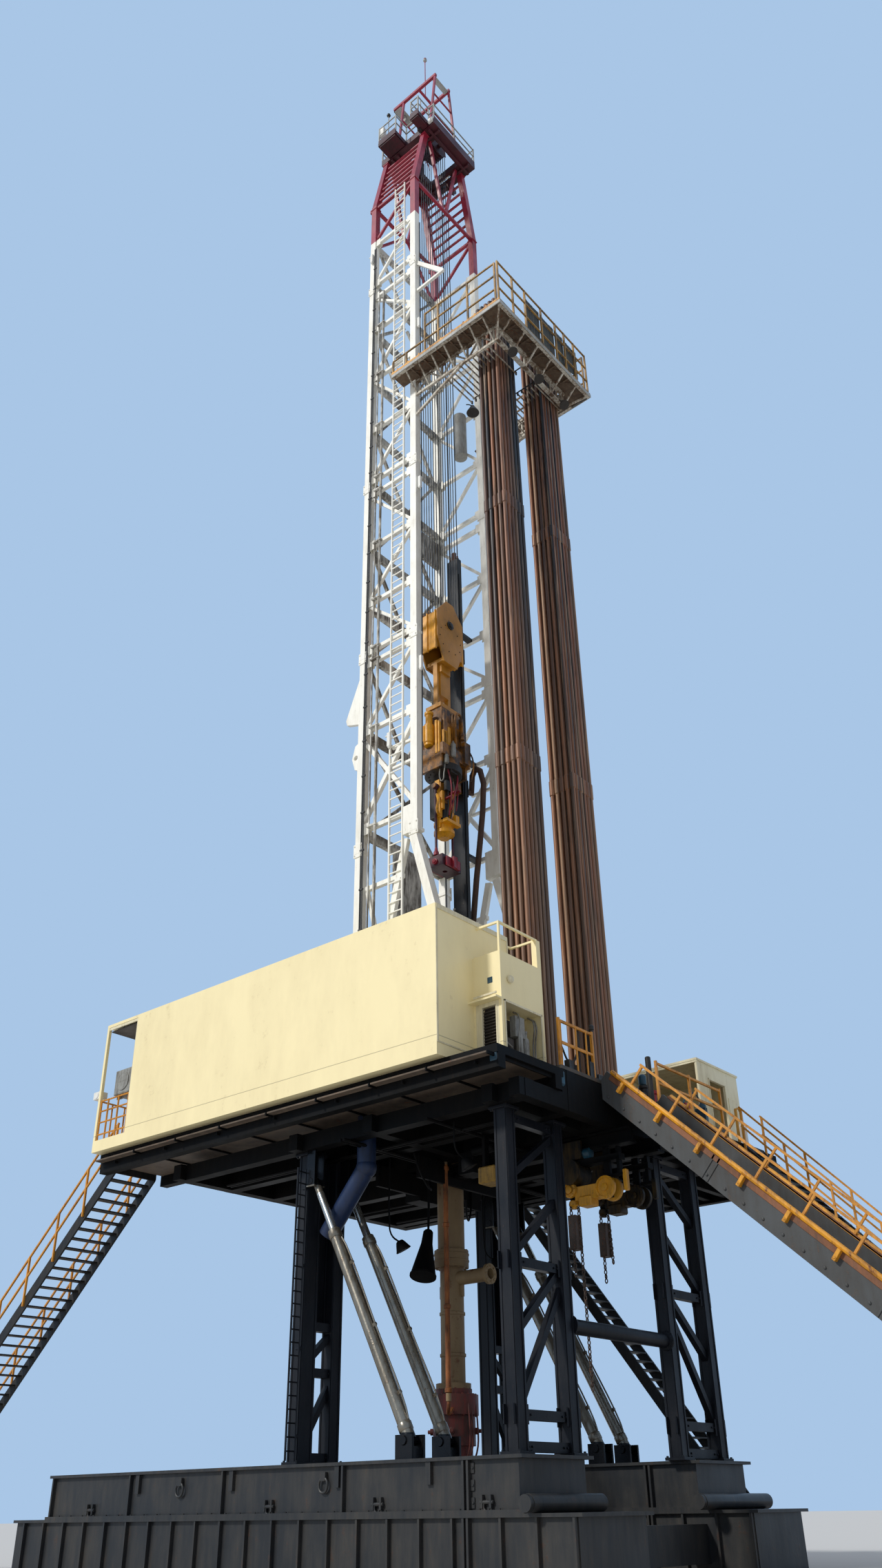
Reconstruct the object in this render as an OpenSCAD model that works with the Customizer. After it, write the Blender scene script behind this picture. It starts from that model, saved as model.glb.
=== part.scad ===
// Land drilling rig, a 1:10 scale model in millimetres.
// Origin on the ground under the well centre, +X towards the pipe ramp, -Y towards the doghouse.

/* [Substructure] */
// Height of the drill floor above the ground
floor_z = 950; // [900:10:1050]
// Height of the lower base box
low_box_h = 115; // [100:5:130]
// Height of the upper base box
up_box_h = 92; // [80:2:110]
// Distance from the well centre to the inner side of a base box
box_in = 200; // [180:5:220]
// Width of a base box
box_w = 230; // [200:5:250]
// Rear end of the upper base boxes, behind the well centre
box_rear = 930; // [850:10:1000]
// Rear end of the lower base boxes
low_box_rear = 1060; // [1010:10:1100]
// Front end of the upper base boxes
up_box_front = 512; // [495:2:540]
// Front end of the lower base boxes
low_box_front = 635; // [600:5:680]
// Plate thickness of the base boxes' webs and flanges
box_plate = 6; // [5:1:10]
// Position of the front towers along X
tower_front_x = 463; // [440:1:480]
// Position of the rear towers along X
tower_rear_x = -120; // [-150:5:-100]
// Side of a tower column
column_w = 30; // [26:1:36]
// Depth of the main floor beams
floor_beam_h = 90; // [70:5:110]
// Front edge of the drill floor
floor_front = 550; // [530:5:580]
// Rear edge of the drill floor
floor_rear = 560; // [500:10:620]
// Far edge of the drill floor
floor_far = 460; // [445:5:480]

/* [Doghouse] */
// Length of the doghouse
house_l = 1192; // [1100:4:1240]
// Depth of the doghouse
house_d = 264; // [240:2:300]
// Height of the doghouse walls, with the base sill
house_h = 328; // [300:4:350]
// Front end of the doghouse along X
house_front = 420; // [400:5:440]
// Near face of the doghouse, measured from the well centre
house_near = 543; // [530:1:560]
// Thickness of the doghouse walls
wall_t = 8; // [6:1:12]
// Length of the open porch at the rear end
porch_l = 134; // [110:2:160]

/* [Mast] */
// Half of the mast's width between leg centres
mast_hw = 187; // [175:1:200]
// Position of the rear legs along X
leg_rear = -158; // [-170:2:-140]
// Position of the front legs along X
leg_front = 55; // [45:1:65]
// Side of a mast leg
leg_w = 25; // [20:1:30]
// Side of a mast girt
girt_w = 13; // [10:1:16]
// Side of a mast diagonal
brace_w = 10; // [8:1:12]
// Height where the front legs split into their two feet
split_z = 1745; // [1700:5:1800]
// Height where the paint changes from white to red
paint_z = 4555; // [4520:5:4580]
// Height of the knee where the top section starts to narrow
knee_z = 4800; // [4780:10:4860]
// Height of the crown frame's underside
crown_z = 5180; // [5140:10:5240]
// Half of the mast's width at the crown
crown_hw = 121; // [110:1:135]

/* [Racking platform] */
// Distance from the top of the pipe stands down to the racking platform
board_drop = 230; // [200:10:300]
// Half of the platform's width
board_hw = 260; // [250:2:270]
// Front edge of the platform
board_front = 496; // [480:2:510]
// Height of the fence round the platform
fence_h = 210; // [180:5:230]

/* [Drill pipe] */
// Length of one stand of three joints
stand_l = 2850; // [2780:10:2900]
// Diameter of the pipe body
pipe_d = 12.7; // [11:0.1:14]
// Diameter of a tool joint
joint_d = 16.8; // [15:0.1:17]
// Gap between the stands
stand_gap = 1; // [0.8:0.1:1.4]

/* [Hoisting] */
// Height of the travelling block's top at rest
block_z = 2685; // [2640:5:2760]
// Travelling block width along Y
block_w = 130; // [120:2:140]
// Top drive's height from the bail to the gearbox's underside
drive_h = 230; // [210:5:260]
// Length of the elevator links
link_l = 235; // [220:5:260]
// Length of the hook and bail between the block and the top drive
hook_l = 174; // [160:2:190]

/* [Hidden] */
$fn = 24;

base_top = low_box_h + up_box_h;
deck_t = 8;
board_z = floor_z + stand_l - board_drop;
frame_z = floor_z - deck_t - floor_beam_h;
house_rear = house_front - house_l;
house_back = house_near - house_d;
house_z = floor_z - 12;
platform_t = 18;
platform_beam_h = 30;
shelf_z = house_z - platform_t - platform_beam_h;

// A square bar between two points, w wide across and h deep
module beam(a, b, w, h = 0) {
  d = b - a;
  flat = norm([d[0], d[1]]);
  translate(a)
    rotate([0, atan2(flat, d[2]), atan2(d[1], d[0])])
      translate([-(h == 0 ? w : h) / 2, -w / 2, 0])
        cube([h == 0 ? w : h, w, norm(d)]);
}

// A round bar between two points
module rod(a, b, d) {
  v = b - a;
  translate(a)
    rotate([0, atan2(norm([v[0], v[1]]), v[2]), atan2(v[1], v[0])])
      cylinder(d = d, h = norm(v));
}

// A box between two corners
module block(a, b) {
  translate(a) cube(b - a);
}

// Base boxes: two rows of box girders, their webs set in from the flanges, with stiffeners
stiff_pitch = 80;
joint_x = 376;
module girder(y0, z0, z1, rear, front, stiff) {
  t = box_plate;
  block([-rear, y0, z0], [front, y0 + box_w, z0 + t]);
  block([-rear, y0, z1 - t], [front, y0 + box_w, z1]);
  for (y = [y0 + 10, y0 + box_w - 10 - t])
    block([-rear + 4, y, z0], [front - 15, y + t, z1]);
  block([front - 15 - t, y0 + 10, z0], [front - 15, y0 + box_w - 10, z1]);
  for (x = stiff)
    for (y = [y0 + 1.5, y0 + box_w - 11])
      block([x, y, z0], [x + 5, y + 9.5, z1]);
}
module base_box(side) {
  y0 = side > 0 ? box_in : -box_in - box_w;
  color([0.13, 0.14, 0.16]) {
    girder(y0, 0, low_box_h, low_box_rear, low_box_front, [for (x = [341 : -stiff_pitch : 10 - low_box_rear]) x, for (x = [453 : stiff_pitch : low_box_front - 20]) x, joint_x - 8, joint_x + 2]);
    girder(y0, low_box_h, base_top, box_rear, up_box_front, [joint_x - 6, joint_x + 5, 60, -300, -620, 10 - box_rear]);
    for (x = [287, 46, -270, -590])
      block([x - 6, side > 0 ? y0 + box_w - 11 : y0 + 3, base_top - 44], [x + 6, side > 0 ? y0 + box_w - 3 : y0 + 11, base_top]);
  }
}
module base_box_near() { base_box(-1); }
module base_box_far() { base_box(1); }

spreader_x = [-980, -580, -250, 490];
module base_spreaders() {
  color([0.13, 0.14, 0.16])
    for (x = spreader_x)
      block([x - 19, -box_in - 10, 20], [x + 19, box_in + 10, 90]);
}

// Towers: transverse frames of two columns with girts and diagonals
front_cols = [205, 377];
rear_cols = [285, 372];
module tower(side, x, cols, girts, diags, outer_w) {
  color([0.12, 0.14, 0.19]) {
    for (i = [0, 1])
      block([x - column_w / 2, side * cols[i] - (i == 0 ? column_w : outer_w) / 2, base_top],
            [x + column_w / 2, side * cols[i] + (i == 0 ? column_w : outer_w) / 2, frame_z]);
    for (z = girts)
      beam([x, side * cols[0], z], [x, side * cols[1], z], 18);
    for (d = diags)
      beam([x, side * cols[d[0]], d[1]], [x, side * cols[1 - d[0]], d[2]], 14);
  }
}
tower_girts = [base_top + 14, 274, 546, frame_z - 20];
front_diags = [[1, 274, 521], [1, 552, 690], [0, 552, 408], [1, 705, frame_z - 30]];
rear_girts = [base_top + 14, 385, 478];
rear_diags = [[0, 372, base_top + 30], [1, 398, 470]];
module rear_tower(side) {
  tower(side, tower_rear_x, rear_cols, rear_girts, rear_diags, column_w + 12);
  color([0.12, 0.14, 0.19])
    block([tower_rear_x - column_w / 2 - 4, side > 0 ? rear_cols[0] : -rear_cols[1], 470],
          [tower_rear_x - column_w / 2, side > 0 ? rear_cols[1] : -rear_cols[0], frame_z]);
}
module tower_front_near() { tower(-1, tower_front_x, front_cols, tower_girts, front_diags, column_w); }
module tower_front_far() { tower(1, tower_front_x, front_cols, tower_girts, front_diags, column_w); }
module tower_rear_near() { rear_tower(-1); }
module tower_rear_far() { rear_tower(1); }
strut_z = 442;
// Pipe stubs that lie across the ledge of the lower boxes
tube_d = 30;
module cross_tubes() {
  color([0.12, 0.13, 0.16])
    for (y = [-440, 160])
      translate([up_box_front + tube_d / 2 + 2, y, low_box_h + tube_d / 2]) rotate([-90, 0, 0]) cylinder(d = tube_d, h = y < 0 ? 230 : 290, $fn = 32);
  color([0.05, 0.35, 0.70])
    for (y = [-440, 160])
      translate([up_box_front + tube_d / 2 + 2, y - 10, low_box_h + tube_d / 2]) rotate([-90, 0, 0]) cylinder(d = tube_d - 2, h = 10, $fn = 32);
}
module tower_strut() {
  color([0.12, 0.14, 0.19]) {
    rod([tower_front_x, -front_cols[0] + column_w / 2, strut_z], [tower_front_x, front_cols[0] - column_w / 2, strut_z], 30);
  }
}

// Drill floor: deep beams, cross beams and the deck plate with the rotary opening
well_r = 48;
floor_beams = [-400, -245, -95, 95, 245, 400, floor_far - 15];
module floor_frame() {
  color([0.10, 0.11, 0.13]) {
    for (y = floor_beams)
      block([-floor_rear, y - 15, frame_z], [floor_front, y + 15, y < -house_back ? shelf_z : frame_z + floor_beam_h]);
    for (x = [-floor_rear + 15, tower_rear_x, 120, tower_front_x, floor_front - 15]) {
      block([x - 14, -house_back, frame_z], [x + 14, floor_far - 1, frame_z + floor_beam_h - 1]);
      block([x - 14, -434, frame_z], [x + 14, -house_back + 5, shelf_z - 1]);
    }
  }
}
module floor_deck() {
  color([0.16, 0.15, 0.14])
    difference() {
      block([-floor_rear, -house_back + 1, floor_z - deck_t], [floor_front, floor_far, floor_z]);
      translate([0, 0, floor_z - deck_t - 1]) cylinder(r = well_r, h = deck_t + 2, $fn = 48);
    }
}
module rotary_table() {
  color([0.25, 0.24, 0.23])
    difference() {
      union() {
        translate([0, 0, floor_z]) cylinder(r = 75, h = 5, $fn = 48);
        translate([0, 0, floor_z - 40]) cylinder(r = well_r - 0.5, h = 42, $fn = 48);
      }
      translate([0, 0, floor_z - 50]) cylinder(r = 34, h = 70, $fn = 48);
    }
}

// Raising cylinders: a pair on each base box, from the box up to the head of the rear tower
cyl_foot = [210, 0, 240];
cyl_head = [-84, 0, 785];
module raising_cylinder(y) {
  a = [cyl_foot[0], y, cyl_foot[2]];
  b = [cyl_head[0], y, cyl_head[2]];
  u = (b - a) / norm(b - a);
  color([0.62, 0.62, 0.60]) {
    rod(a, a + u * 480, 27);
    rod(a + u * 10, b, 17);
  }
  color([0.15, 0.15, 0.16]) {
    block([a[0] - 22, y - 20, base_top], [a[0] + 22, y - 14, 250]);
    block([a[0] - 22, y + 14, base_top], [a[0] + 22, y + 20, 250]);
    translate([a[0], y + 20, a[2]]) rotate([90, 0, 0]) cylinder(d = 14, h = 40);
    for (s = [-1, 1])
      block([b[0] - 13, y + s * 14.5 - 2.5, b[2] - 16], [b[0] + 13, y + s * 14.5 + 2.5, frame_z]);
    translate([b[0], y + 17, b[2] - 4]) rotate([90, 0, 0]) cylinder(d = 12, h = 34);
  }
}
module raising_cylinders() {
  for (side = [-1, 1])
    for (y = [279, 390])
      raising_cylinder(side * y);
}

// Well centre: blowout preventers on the wellhead, and the bell nipple with its side outlet above
module bop_stack() {
  color([0.42, 0.10, 0.09]) {
    cylinder(d = 60, h = 130, $fn = 32);
    translate([0, 0, 130]) cylinder(d = 92, h = 14, $fn = 32);
    translate([0, 0, 144]) cylinder(d = 72, h = 60, $fn = 32);
    block([-35, -80, 150], [35, 80, 200]);
    translate([0, 0, 204]) cylinder(d = 98, h = 16, $fn = 32);
    translate([0, 0, 220]) cylinder(d = 84, h = 26, $fn = 32);
    translate([0, 0, 246]) cylinder(d = 98, h = 62, $fn = 32);
    translate([0, 0, 308]) cylinder(d = 114, h = 42, $fn = 32);
    translate([0, 0, 350]) cylinder(d = 86, h = 12, $fn = 32);
  }
}
nipple_z = 627;
module bell_nipple() {
  color([0.55, 0.45, 0.33])
    difference() {
      union() {
        translate([0, 0, 362]) cylinder(d = 82, h = 12, $fn = 32);
        translate([0, 0, 374]) cylinder(d = 57, h = nipple_z - 374, $fn = 32);
        translate([0, 0, nipple_z]) cylinder(d = 84, h = 40, $fn = 32);
        translate([0, 0, nipple_z + 40]) cylinder(d = 66, h = floor_z - 40 - nipple_z - 40, $fn = 32);
        translate([0, 0, 602]) rotate([0, 90, 0]) cylinder(d = 32, h = 118, $fn = 32);
        translate([112, 0, 602]) rotate([0, 90, 0]) cylinder(d = 46, h = 8, $fn = 32);
      }
      translate([0, 0, 361]) cylinder(d = 47, h = floor_z - 361, $fn = 32);
      translate([0, 0, 602]) rotate([0, 90, 0]) cylinder(d = 24, h = 140, $fn = 32);
    }
  color([0.55, 0.27, 0.10])
    rod([68, -100, 330], [68, -100, frame_z], 12);
}

// Preventer hoists: two trolleys on a runway beam under the floor
runway_y = -60;
runway_z = frame_z - 34;
module hoist_beam() {
  color([0.12, 0.13, 0.16]) {
    for (y = [-runway_y, runway_y]) {
      block([60, y - 14, runway_z], [floor_front + 30, y + 14, runway_z + 5]);
      block([60, y - 3, runway_z + 5], [floor_front + 30, y + 3, frame_z - 5]);
      block([60, y - 14, frame_z - 5], [floor_front + 30, y + 14, frame_z]);
    }
  }
}
module bop_trolley() {
  color([0.85, 0.62, 0.10])
    for (y = [-runway_y, runway_y]) {
      translate([420, y, runway_z - 44]) rotate([90, 0, 0]) translate([0, 0, -26]) cylinder(d = 56, h = 52, $fn = 32);
      block([385, y - 22, runway_z - 18], [455, y + 22, runway_z - 6]);
      for (s = [-1, 1]) {
        block([385, y + s * 21 - 3, runway_z - 18], [455, y + s * 21 + 3, runway_z + 22]);
        for (x = [398, 442])
          translate([x, y + s * 12, runway_z + 10.3]) rotate([90, 0, 0]) translate([0, 0, -7]) cylinder(d = 10, h = 14);
      }
    }
}

// Air duct that hangs under the floor
duct_x = 40;
duct_y = -350;
duct_d = 44;
module air_duct() {
  color([0.10, 0.22, 0.45]) {
    rod([duct_x, duct_y, 800], [duct_x, duct_y, house_z - platform_t], duct_d);
    translate([duct_x, duct_y, 800]) sphere(d = duct_d + 4, $fn = 32);
    rod([duct_x, duct_y, 800], [duct_x - 118, duct_y, 668], duct_d);
  }
}

// Doghouse: platform of outriggers, walls with doors and windows, roof, porch
platform_front = floor_front + 5;
module doghouse_platform() {
  color([0.12, 0.13, 0.15]) {
    block([house_rear, -house_near + 30, house_z - platform_t], [platform_front, -house_back - 1, house_z]);
    for (y = [-house_near + 45, -house_back - 20])
      block([house_rear, y - 12, shelf_z], [platform_front, y + 12, house_z - platform_t]);
  }
}
module doghouse_walls() {
  z0 = house_z;
  z1 = floor_z + house_h;
  xr = house_rear + porch_l;
  color([0.86, 0.82, 0.64])
    difference() {
      union() {
        block([house_rear, -house_near, z0], [house_front, -house_back, z0 + 30]);
        block([xr, -house_near, z0], [house_front, -house_back, z1]);
        block([house_rear, -house_near, z0], [house_rear + wall_t, -house_near + wall_t, z1]);
        block([house_rear, -house_back - wall_t, z0], [house_rear + wall_t, -house_back, z1]);
      }
      block([xr + wall_t, -house_near + wall_t, z0 + 30], [house_front - wall_t, -house_back - wall_t, z1 + 1]);
      block([-80, -house_back - wall_t - 1, floor_z + 18], [10, -house_back + 1, floor_z + 228]);
      block([60, -house_back - wall_t - 1, floor_z + 110], [200, -house_back + 1, floor_z + 210]);
      block([xr - 1, -house_near + 100, floor_z + 18], [xr + wall_t + 1, -house_near + 190, floor_z + 228]);
    }
}
module doghouse_roof() {
  color([0.84, 0.80, 0.63])
    block([house_rear, -house_near, floor_z + house_h], [house_front, -house_back, floor_z + house_h + 8]);
}
cabin_front = house_front + 78;
cabin_near = 415;
cabin_back = 262;
module end_cabin() {
  z0 = house_z;
  color([0.86, 0.82, 0.64]) {
    difference() {
      union() {
        block([house_front, -cabin_near, z0], [cabin_front, -house_back, z0 + 252]);
        block([house_front, -cabin_near, floor_z], [cabin_front, -cabin_back, z0 + 252]);
      }
      block([house_front + 6, -cabin_near - 1, z0 + 10], [cabin_front - 8, -cabin_near + 20, z0 + 138]);
      block([house_front + 6, -cabin_near + 8, z0 + 10], [cabin_front + 1, -cabin_back - 6, z0 + 138]);
      block([house_front - 1, -cabin_near + 6, z0 + 146], [cabin_front - 6, -cabin_back - 6, z0 + 246]);
    }
    block([house_front, -cabin_near - 20, z0 + 138], [cabin_front, -cabin_near, z0 + 142]);
    block([cabin_front - 22, -cabin_back, floor_z], [cabin_front - 8, -cabin_back + 15, z0 + 328]);
  }
}
module roof_rail() {
  z = house_z + house_h;
  y0 = -cabin_near + 18;
  y1 = -cabin_back + 8;
  color([0.85, 0.83, 0.70]) {
    block([house_front, y0 - 2.5, z], [cabin_front - 17, y0 + 2.5, z + 5]);
    block([cabin_front - 17, y0 - 2.5, z], [cabin_front - 12, y1 + 2, z + 5]);
    block([house_front - 12, y1 - 2.5, z], [cabin_front - 17, y1 + 2, z + 5]);
    block([house_front - 12, -house_back, z], [house_front - 7, y1 - 2.5, z + 5]);
    block([cabin_front - 17, y0 - 2.5, house_z + 252], [cabin_front - 12, y0 + 2.5, z]);
  }
}

// Shelter on the far side: platform, walls open to the floor, roof
shelter_x0 = 195;
shelter_x1 = 443;
shelter_y0 = 540;
shelter_y1 = 768;
shelter_h = 232;
landing_x = shelter_x1 + 77;
module shelter_platform() {
  color([0.12, 0.13, 0.15]) {
    block([shelter_x0 - 40, floor_far, floor_z - platform_t], [landing_x, shelter_y1 + 20, floor_z]);
    for (x = [shelter_x0 - 20, landing_x - 20])
      block([x - 10, floor_far, floor_z - 60], [x + 10, shelter_y1 + 20, floor_z - platform_t]);
  }
}
module shelter_walls() {
  color([0.84, 0.82, 0.70])
    difference() {
      block([shelter_x0, shelter_y0, floor_z], [shelter_x1, shelter_y1, floor_z + shelter_h]);
      block([shelter_x0 + 6, shelter_y0 - 1, floor_z - 1], [shelter_x1 - 6, shelter_y1 - 6, floor_z + shelter_h + 1]);
      block([shelter_x1 - 7, shelter_y0 + 60, floor_z - 1], [shelter_x1 + 1, shelter_y0 + 150, floor_z + 190]);
    }
}
module shelter_roof() {
  color([0.84, 0.82, 0.70])
    block([shelter_x0 - 3, shelter_y0 - 3, floor_z + shelter_h], [shelter_x1 + 3, shelter_y1 + 3, floor_z + shelter_h + 6]);
}

// Handrails: square posts with a top and a middle rail between points on one level
module handrail(points, h, d) {
  for (i = [0 : len(points) - 2]) {
    a = points[i];
    b = points[i + 1];
    n = max(1, round(norm(b - a) / 150));
    u = (b - a) / norm(b - a);
    for (k = [0 : n])
      translate(a + (b - a) * k / n)
        block([-d / 2, -d / 2, 0], [d / 2, d / 2, h]);
    for (z = [h / 2, h - d])
      beam(a + [0, 0, z] - u * 0.2 * d, b + [0, 0, z] + u * 0.2 * d, d - 0.8);
  }
}
module floor_rails() {
  color([0.83, 0.58, 0.12]) {
    handrail([[floor_front - 6, -house_back + 8, floor_z], [floor_front - 6, -140, floor_z]], 110, 6);
    handrail([[floor_front - 6, 140, floor_z], [floor_front - 6, floor_far - 6, floor_z]], 110, 6);
    handrail([[-floor_rear + 6, -house_back + 8, floor_z], [-floor_rear + 6, floor_far - 6, floor_z]], 110, 6);
    handrail([[-floor_rear + 16, floor_far - 6, floor_z], [back_top[0] - 80, floor_far - 6, floor_z]], 110, 6);
    handrail([[back_top[0] + 10, floor_far - 6, floor_z], [shelter_x0 - 60, floor_far - 6, floor_z]], 110, 6);
  }
}

// Pipe ramp down from the drill floor, with side plates
ramp_a = 43;
ramp_hw = 120;
ramp_side = 56;
ramp_l = (floor_z - 2) / sin(ramp_a);
module ramp() {
  color([0.38, 0.39, 0.40])
    translate([floor_front, 0, floor_z])
      rotate([0, ramp_a, 0]) {
        intersection() {
          union() {
            block([0, -ramp_hw, -24], [ramp_l + 60, ramp_hw, -16]);
            for (s = [-1, 1])
              block([0, s * ramp_hw - 3, -32], [ramp_l + 60, s * ramp_hw + 3, ramp_side - 32]);
            for (x = [60 : 120 : ramp_l])
              block([x, -ramp_hw, -32], [x + 6, ramp_hw, -24]);
          }
          rotate([0, -ramp_a, 0]) block([0, -200, -floor_z], [1200, 200, 60]);
        }
      }
}
module ramp_rails() {
  color([0.85, 0.62, 0.10])
    translate([floor_front, 0, floor_z])
      rotate([0, ramp_a, 0])
        for (s = [-1, 1]) {
          block([40, s * ramp_hw - 5, ramp_side - 32], [ramp_l - 60, s * ramp_hw + 5, ramp_side - 28]);
          for (x = [70 : 120 : ramp_l - 120])
            block([x, s * ramp_hw - 2.5, ramp_side - 28], [x + 5, s * ramp_hw + 2.5, ramp_side + 22]);
          block([66, s * ramp_hw - 2.5, ramp_side + 22], [ramp_l - 100, s * ramp_hw + 2.5, ramp_side + 27]);
        }
}

// Open stairs: a header plate, two stringers and a grating tread at each step
stringer_t = 5;
stringer_d = 26;
tread_rise = 22;
module stair(top, dir, run, rise, w) {
  n = round(rise / tread_rise);
  dv = stringer_d / cos(atan(rise / run));
  translate(top)
    rotate([0, 0, dir]) {
      block([0, -w / 2, -dv], [5, w / 2, 0]);
      for (s = [-1, 1])
        translate([0, s * w / 2 + stringer_t / 2, 0])
          rotate([90, 0, 0])
            linear_extrude(stringer_t)
              polygon([[0, 0], [0, -dv], [run - dv * run / rise, -rise], [run, -rise]]);
      for (i = [1 : n - 1])
        block([run * i / n - 24, -w / 2, -rise * i / n - 3], [run * i / n + 2, w / 2, -rise * i / n]);
    }
}
// Handrail along one side of a stair, its posts on the outer face of the stringer
rail_h = 100;
rail_t = 5;
module stair_rail(top, dir, run, rise, w, s) {
  n = round(norm([run, rise]) / 160);
  y0 = s * (w / 2 + stringer_t / 2 + rail_t / 2);
  translate(top)
    rotate([0, 0, dir]) {
      for (i = [0 : n]) {
        x = 8 + (run - 40) * i / n;
        block([x - rail_t / 2, y0 - rail_t / 2, -x * rise / run - 24], [x + rail_t / 2, y0 + rail_t / 2, -x * rise / run + rail_h]);
      }
      for (h = [rail_h / 2, rail_h])
        beam([4, y0, -4 * rise / run + h], [run - 28, y0, -(run - 28) * rise / run + h], rail_t - 0.4, rail_t - 0.4);
    }
}
stair_w = 130;
left_top = [house_rear, -395, house_z - 1];
left_run = 1030;
module stair_left() {
  color([0.10, 0.10, 0.11]) stair(left_top, 180, left_run, left_top[2], stair_w);
}
back_top = [-184, floor_far + 55, floor_z];
back_run = 730;
back_w = 80;
module stair_back() {
  color([0.10, 0.10, 0.11]) {
    stair(back_top, 0, back_run, floor_z, back_w);
    block([back_top[0] - 75, floor_far, floor_z - deck_t], [back_top[0] + 4, back_top[1] + back_w / 2, floor_z]);
  }
}
right_top = [landing_x, 655, floor_z];
right_run = 905;
right_w = 110;
module stair_right() {
  color([0.10, 0.10, 0.11]) stair(right_top, 0, right_run, floor_z, right_w);
}
module stair_rails() {
  color([0.83, 0.58, 0.12]) {
    for (s = [-1, 1])
      stair_rail(right_top, 0, right_run, floor_z, right_w, s);
    for (s = [-1, 1])
      stair_rail(left_top, 180, left_run, left_top[2], stair_w, s);
  }
}

// Mast: rear legs straight down to the floor, front legs split into two feet
gusset_z = 1730;
module mast_base() {
  color([0.88, 0.88, 0.86])
    for (s = [-1, 1]) {
      y = s * mast_hw;
      intersection() {
        union() {
          beam([leg_front - 4, y, split_z - 10], [262, y, floor_z + 20], leg_w + 1);
          beam([leg_front - 38, y, split_z - 10], [leg_rear + 10, y, floor_z + 90], girt_w, 20);
          beam([leg_rear + 22, y, 1626], [leg_front - 48, y, 1626], girt_w);
          beam([leg_rear + 26, y, 1630], [leg_rear + 90, y, 1382], brace_w);
          beam([leg_rear + 12, y, 1190], [leg_rear + 90, y, 1382], brace_w);
        }
        block([leg_rear + leg_w / 2, y - 40, floor_z + 30], [300, y + 40, split_z]);
      }
      block([240, y - 22, floor_z], [290, y + 22, floor_z + 34]);
      block([leg_rear - 24, y - 22, floor_z], [leg_rear + 24, y + 22, floor_z + 20]);
      block([leg_rear - leg_w / 2, y - leg_w / 2, floor_z + 20], [leg_rear + leg_w / 2, y + leg_w / 2, split_z]);
    }
}
girts_z = [1820, 2165, 2420, 2470, 2665, 2910, 3150, 3215, 3470, 3740, 4015, 4210, 4290, 4545];
// Girts where a diagonal starts, and the ends it joins: 0 rear to front, 1 front to rear
diags = [[1, 0], [3, 1], [4, 0], [5, 1], [7, 0], [8, 1], [9, 0], [10, 1], [12, 0]];
module mast_side(s) {
  y = s * mast_hw;
  yp = s > 0 ? mast_hw - 6 : -mast_hw - 6;
  color([0.90, 0.90, 0.88]) {
    block([leg_rear - leg_w / 2, y - leg_w / 2, split_z], [leg_rear + leg_w / 2, y + leg_w / 2, paint_z]);
    block([leg_front - leg_w / 2, y - leg_w / 2, split_z], [leg_front + leg_w / 2, y + leg_w / 2, paint_z]);
    for (z = girts_z)
      block([leg_rear, y - girt_w / 2, z - girt_w / 2], [leg_front, y + girt_w / 2, z + girt_w / 2]);
    for (d = diags)
      beam([d[1] == 0 ? leg_rear : leg_front, y, girts_z[d[0]]],
           [d[1] == 0 ? leg_front : leg_rear, y, girts_z[d[0] + 1]], brace_w);
    for (r = [-1, 1])
      beam([(leg_rear + leg_front) / 2 + r * 100, y, 1845], [(leg_rear + leg_front) / 2 - r * 100, y, 2130], brace_w + 3);
    for (z = [1990, 2060])
      block([-38, y - 4, z - 4], [leg_front, y + 4, z + 4]);
    block([14, y - 12, split_z], [leg_front - 8, y + 12, 1835]);
    translate([0, yp, 0]) rotate([90, 0, 0]) mirror([0, 0, 1]) linear_extrude(12) {
      polygon([[leg_rear - 4, 2410], [leg_rear - 73, 2240], [leg_rear - 68, 2222], [leg_rear - 4, 2200]]);
      difference() {
        polygon([[leg_rear - 4, 2140], [leg_rear - 30, 2128], [leg_rear - 42, 2085], [leg_rear - 30, 2044], [leg_rear - 4, 2030]]);
        translate([leg_rear - 26, 2085]) circle(d = 17);
      }
    }
    for (z = [split_z + 5, 2445, 3182, 4250])
      for (x = [leg_rear, leg_front])
        block([x - leg_w / 2 - 3, y - leg_w / 2 - 3, z - 5], [x + leg_w / 2 + 3, y + leg_w / 2 + 3, z + 5]);
    translate([0, yp + 1, 0]) rotate([90, 0, 0]) mirror([0, 0, 1]) linear_extrude(10)
      polygon([[leg_front, 4062], [leg_front + 143, 4072], [leg_front + 143, 4084], [leg_front, 4262], [leg_front, 4240], [leg_front + 122, 4080], [leg_front, 4074]]);
  }
}
module mast_side_near() { mast_side(-1); }
module mast_side_far() { mast_side(1); }
module mast_back() {
  y = mast_hw - leg_w / 2;
  color([0.82, 0.82, 0.80]) {
    for (i = [0 : len(girts_z) - 1])
      if (i != 2 && i != 6 && i != 11)
        block([leg_rear - 7, -y, girts_z[i] - 15], [leg_rear + 7, y, girts_z[i] + 15]);
    for (d = diags)
      for (s = [-1, 1])
        beam([leg_rear, s * (d[1] == 0 ? 8 : y - 8), girts_z[d[0]]], [leg_rear, s * (d[1] == 0 ? y - 8 : 8), girts_z[d[0] + 1]], brace_w);
    for (r = [-1, 1])
      beam([leg_rear, r * (y - 12), 1830], [leg_rear, -r * (y - 12), 2155], brace_w);
  }
  color([0.30, 0.20, 0.15])
    block([leg_rear + 7, -60, 1200], [leg_rear + 15, 60, girts_z[0] - 6]);
  color([0.12, 0.13, 0.16])
    block([leg_rear - 2, 85, 3055], [leg_rear + 9, y, 3176]);
}
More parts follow.
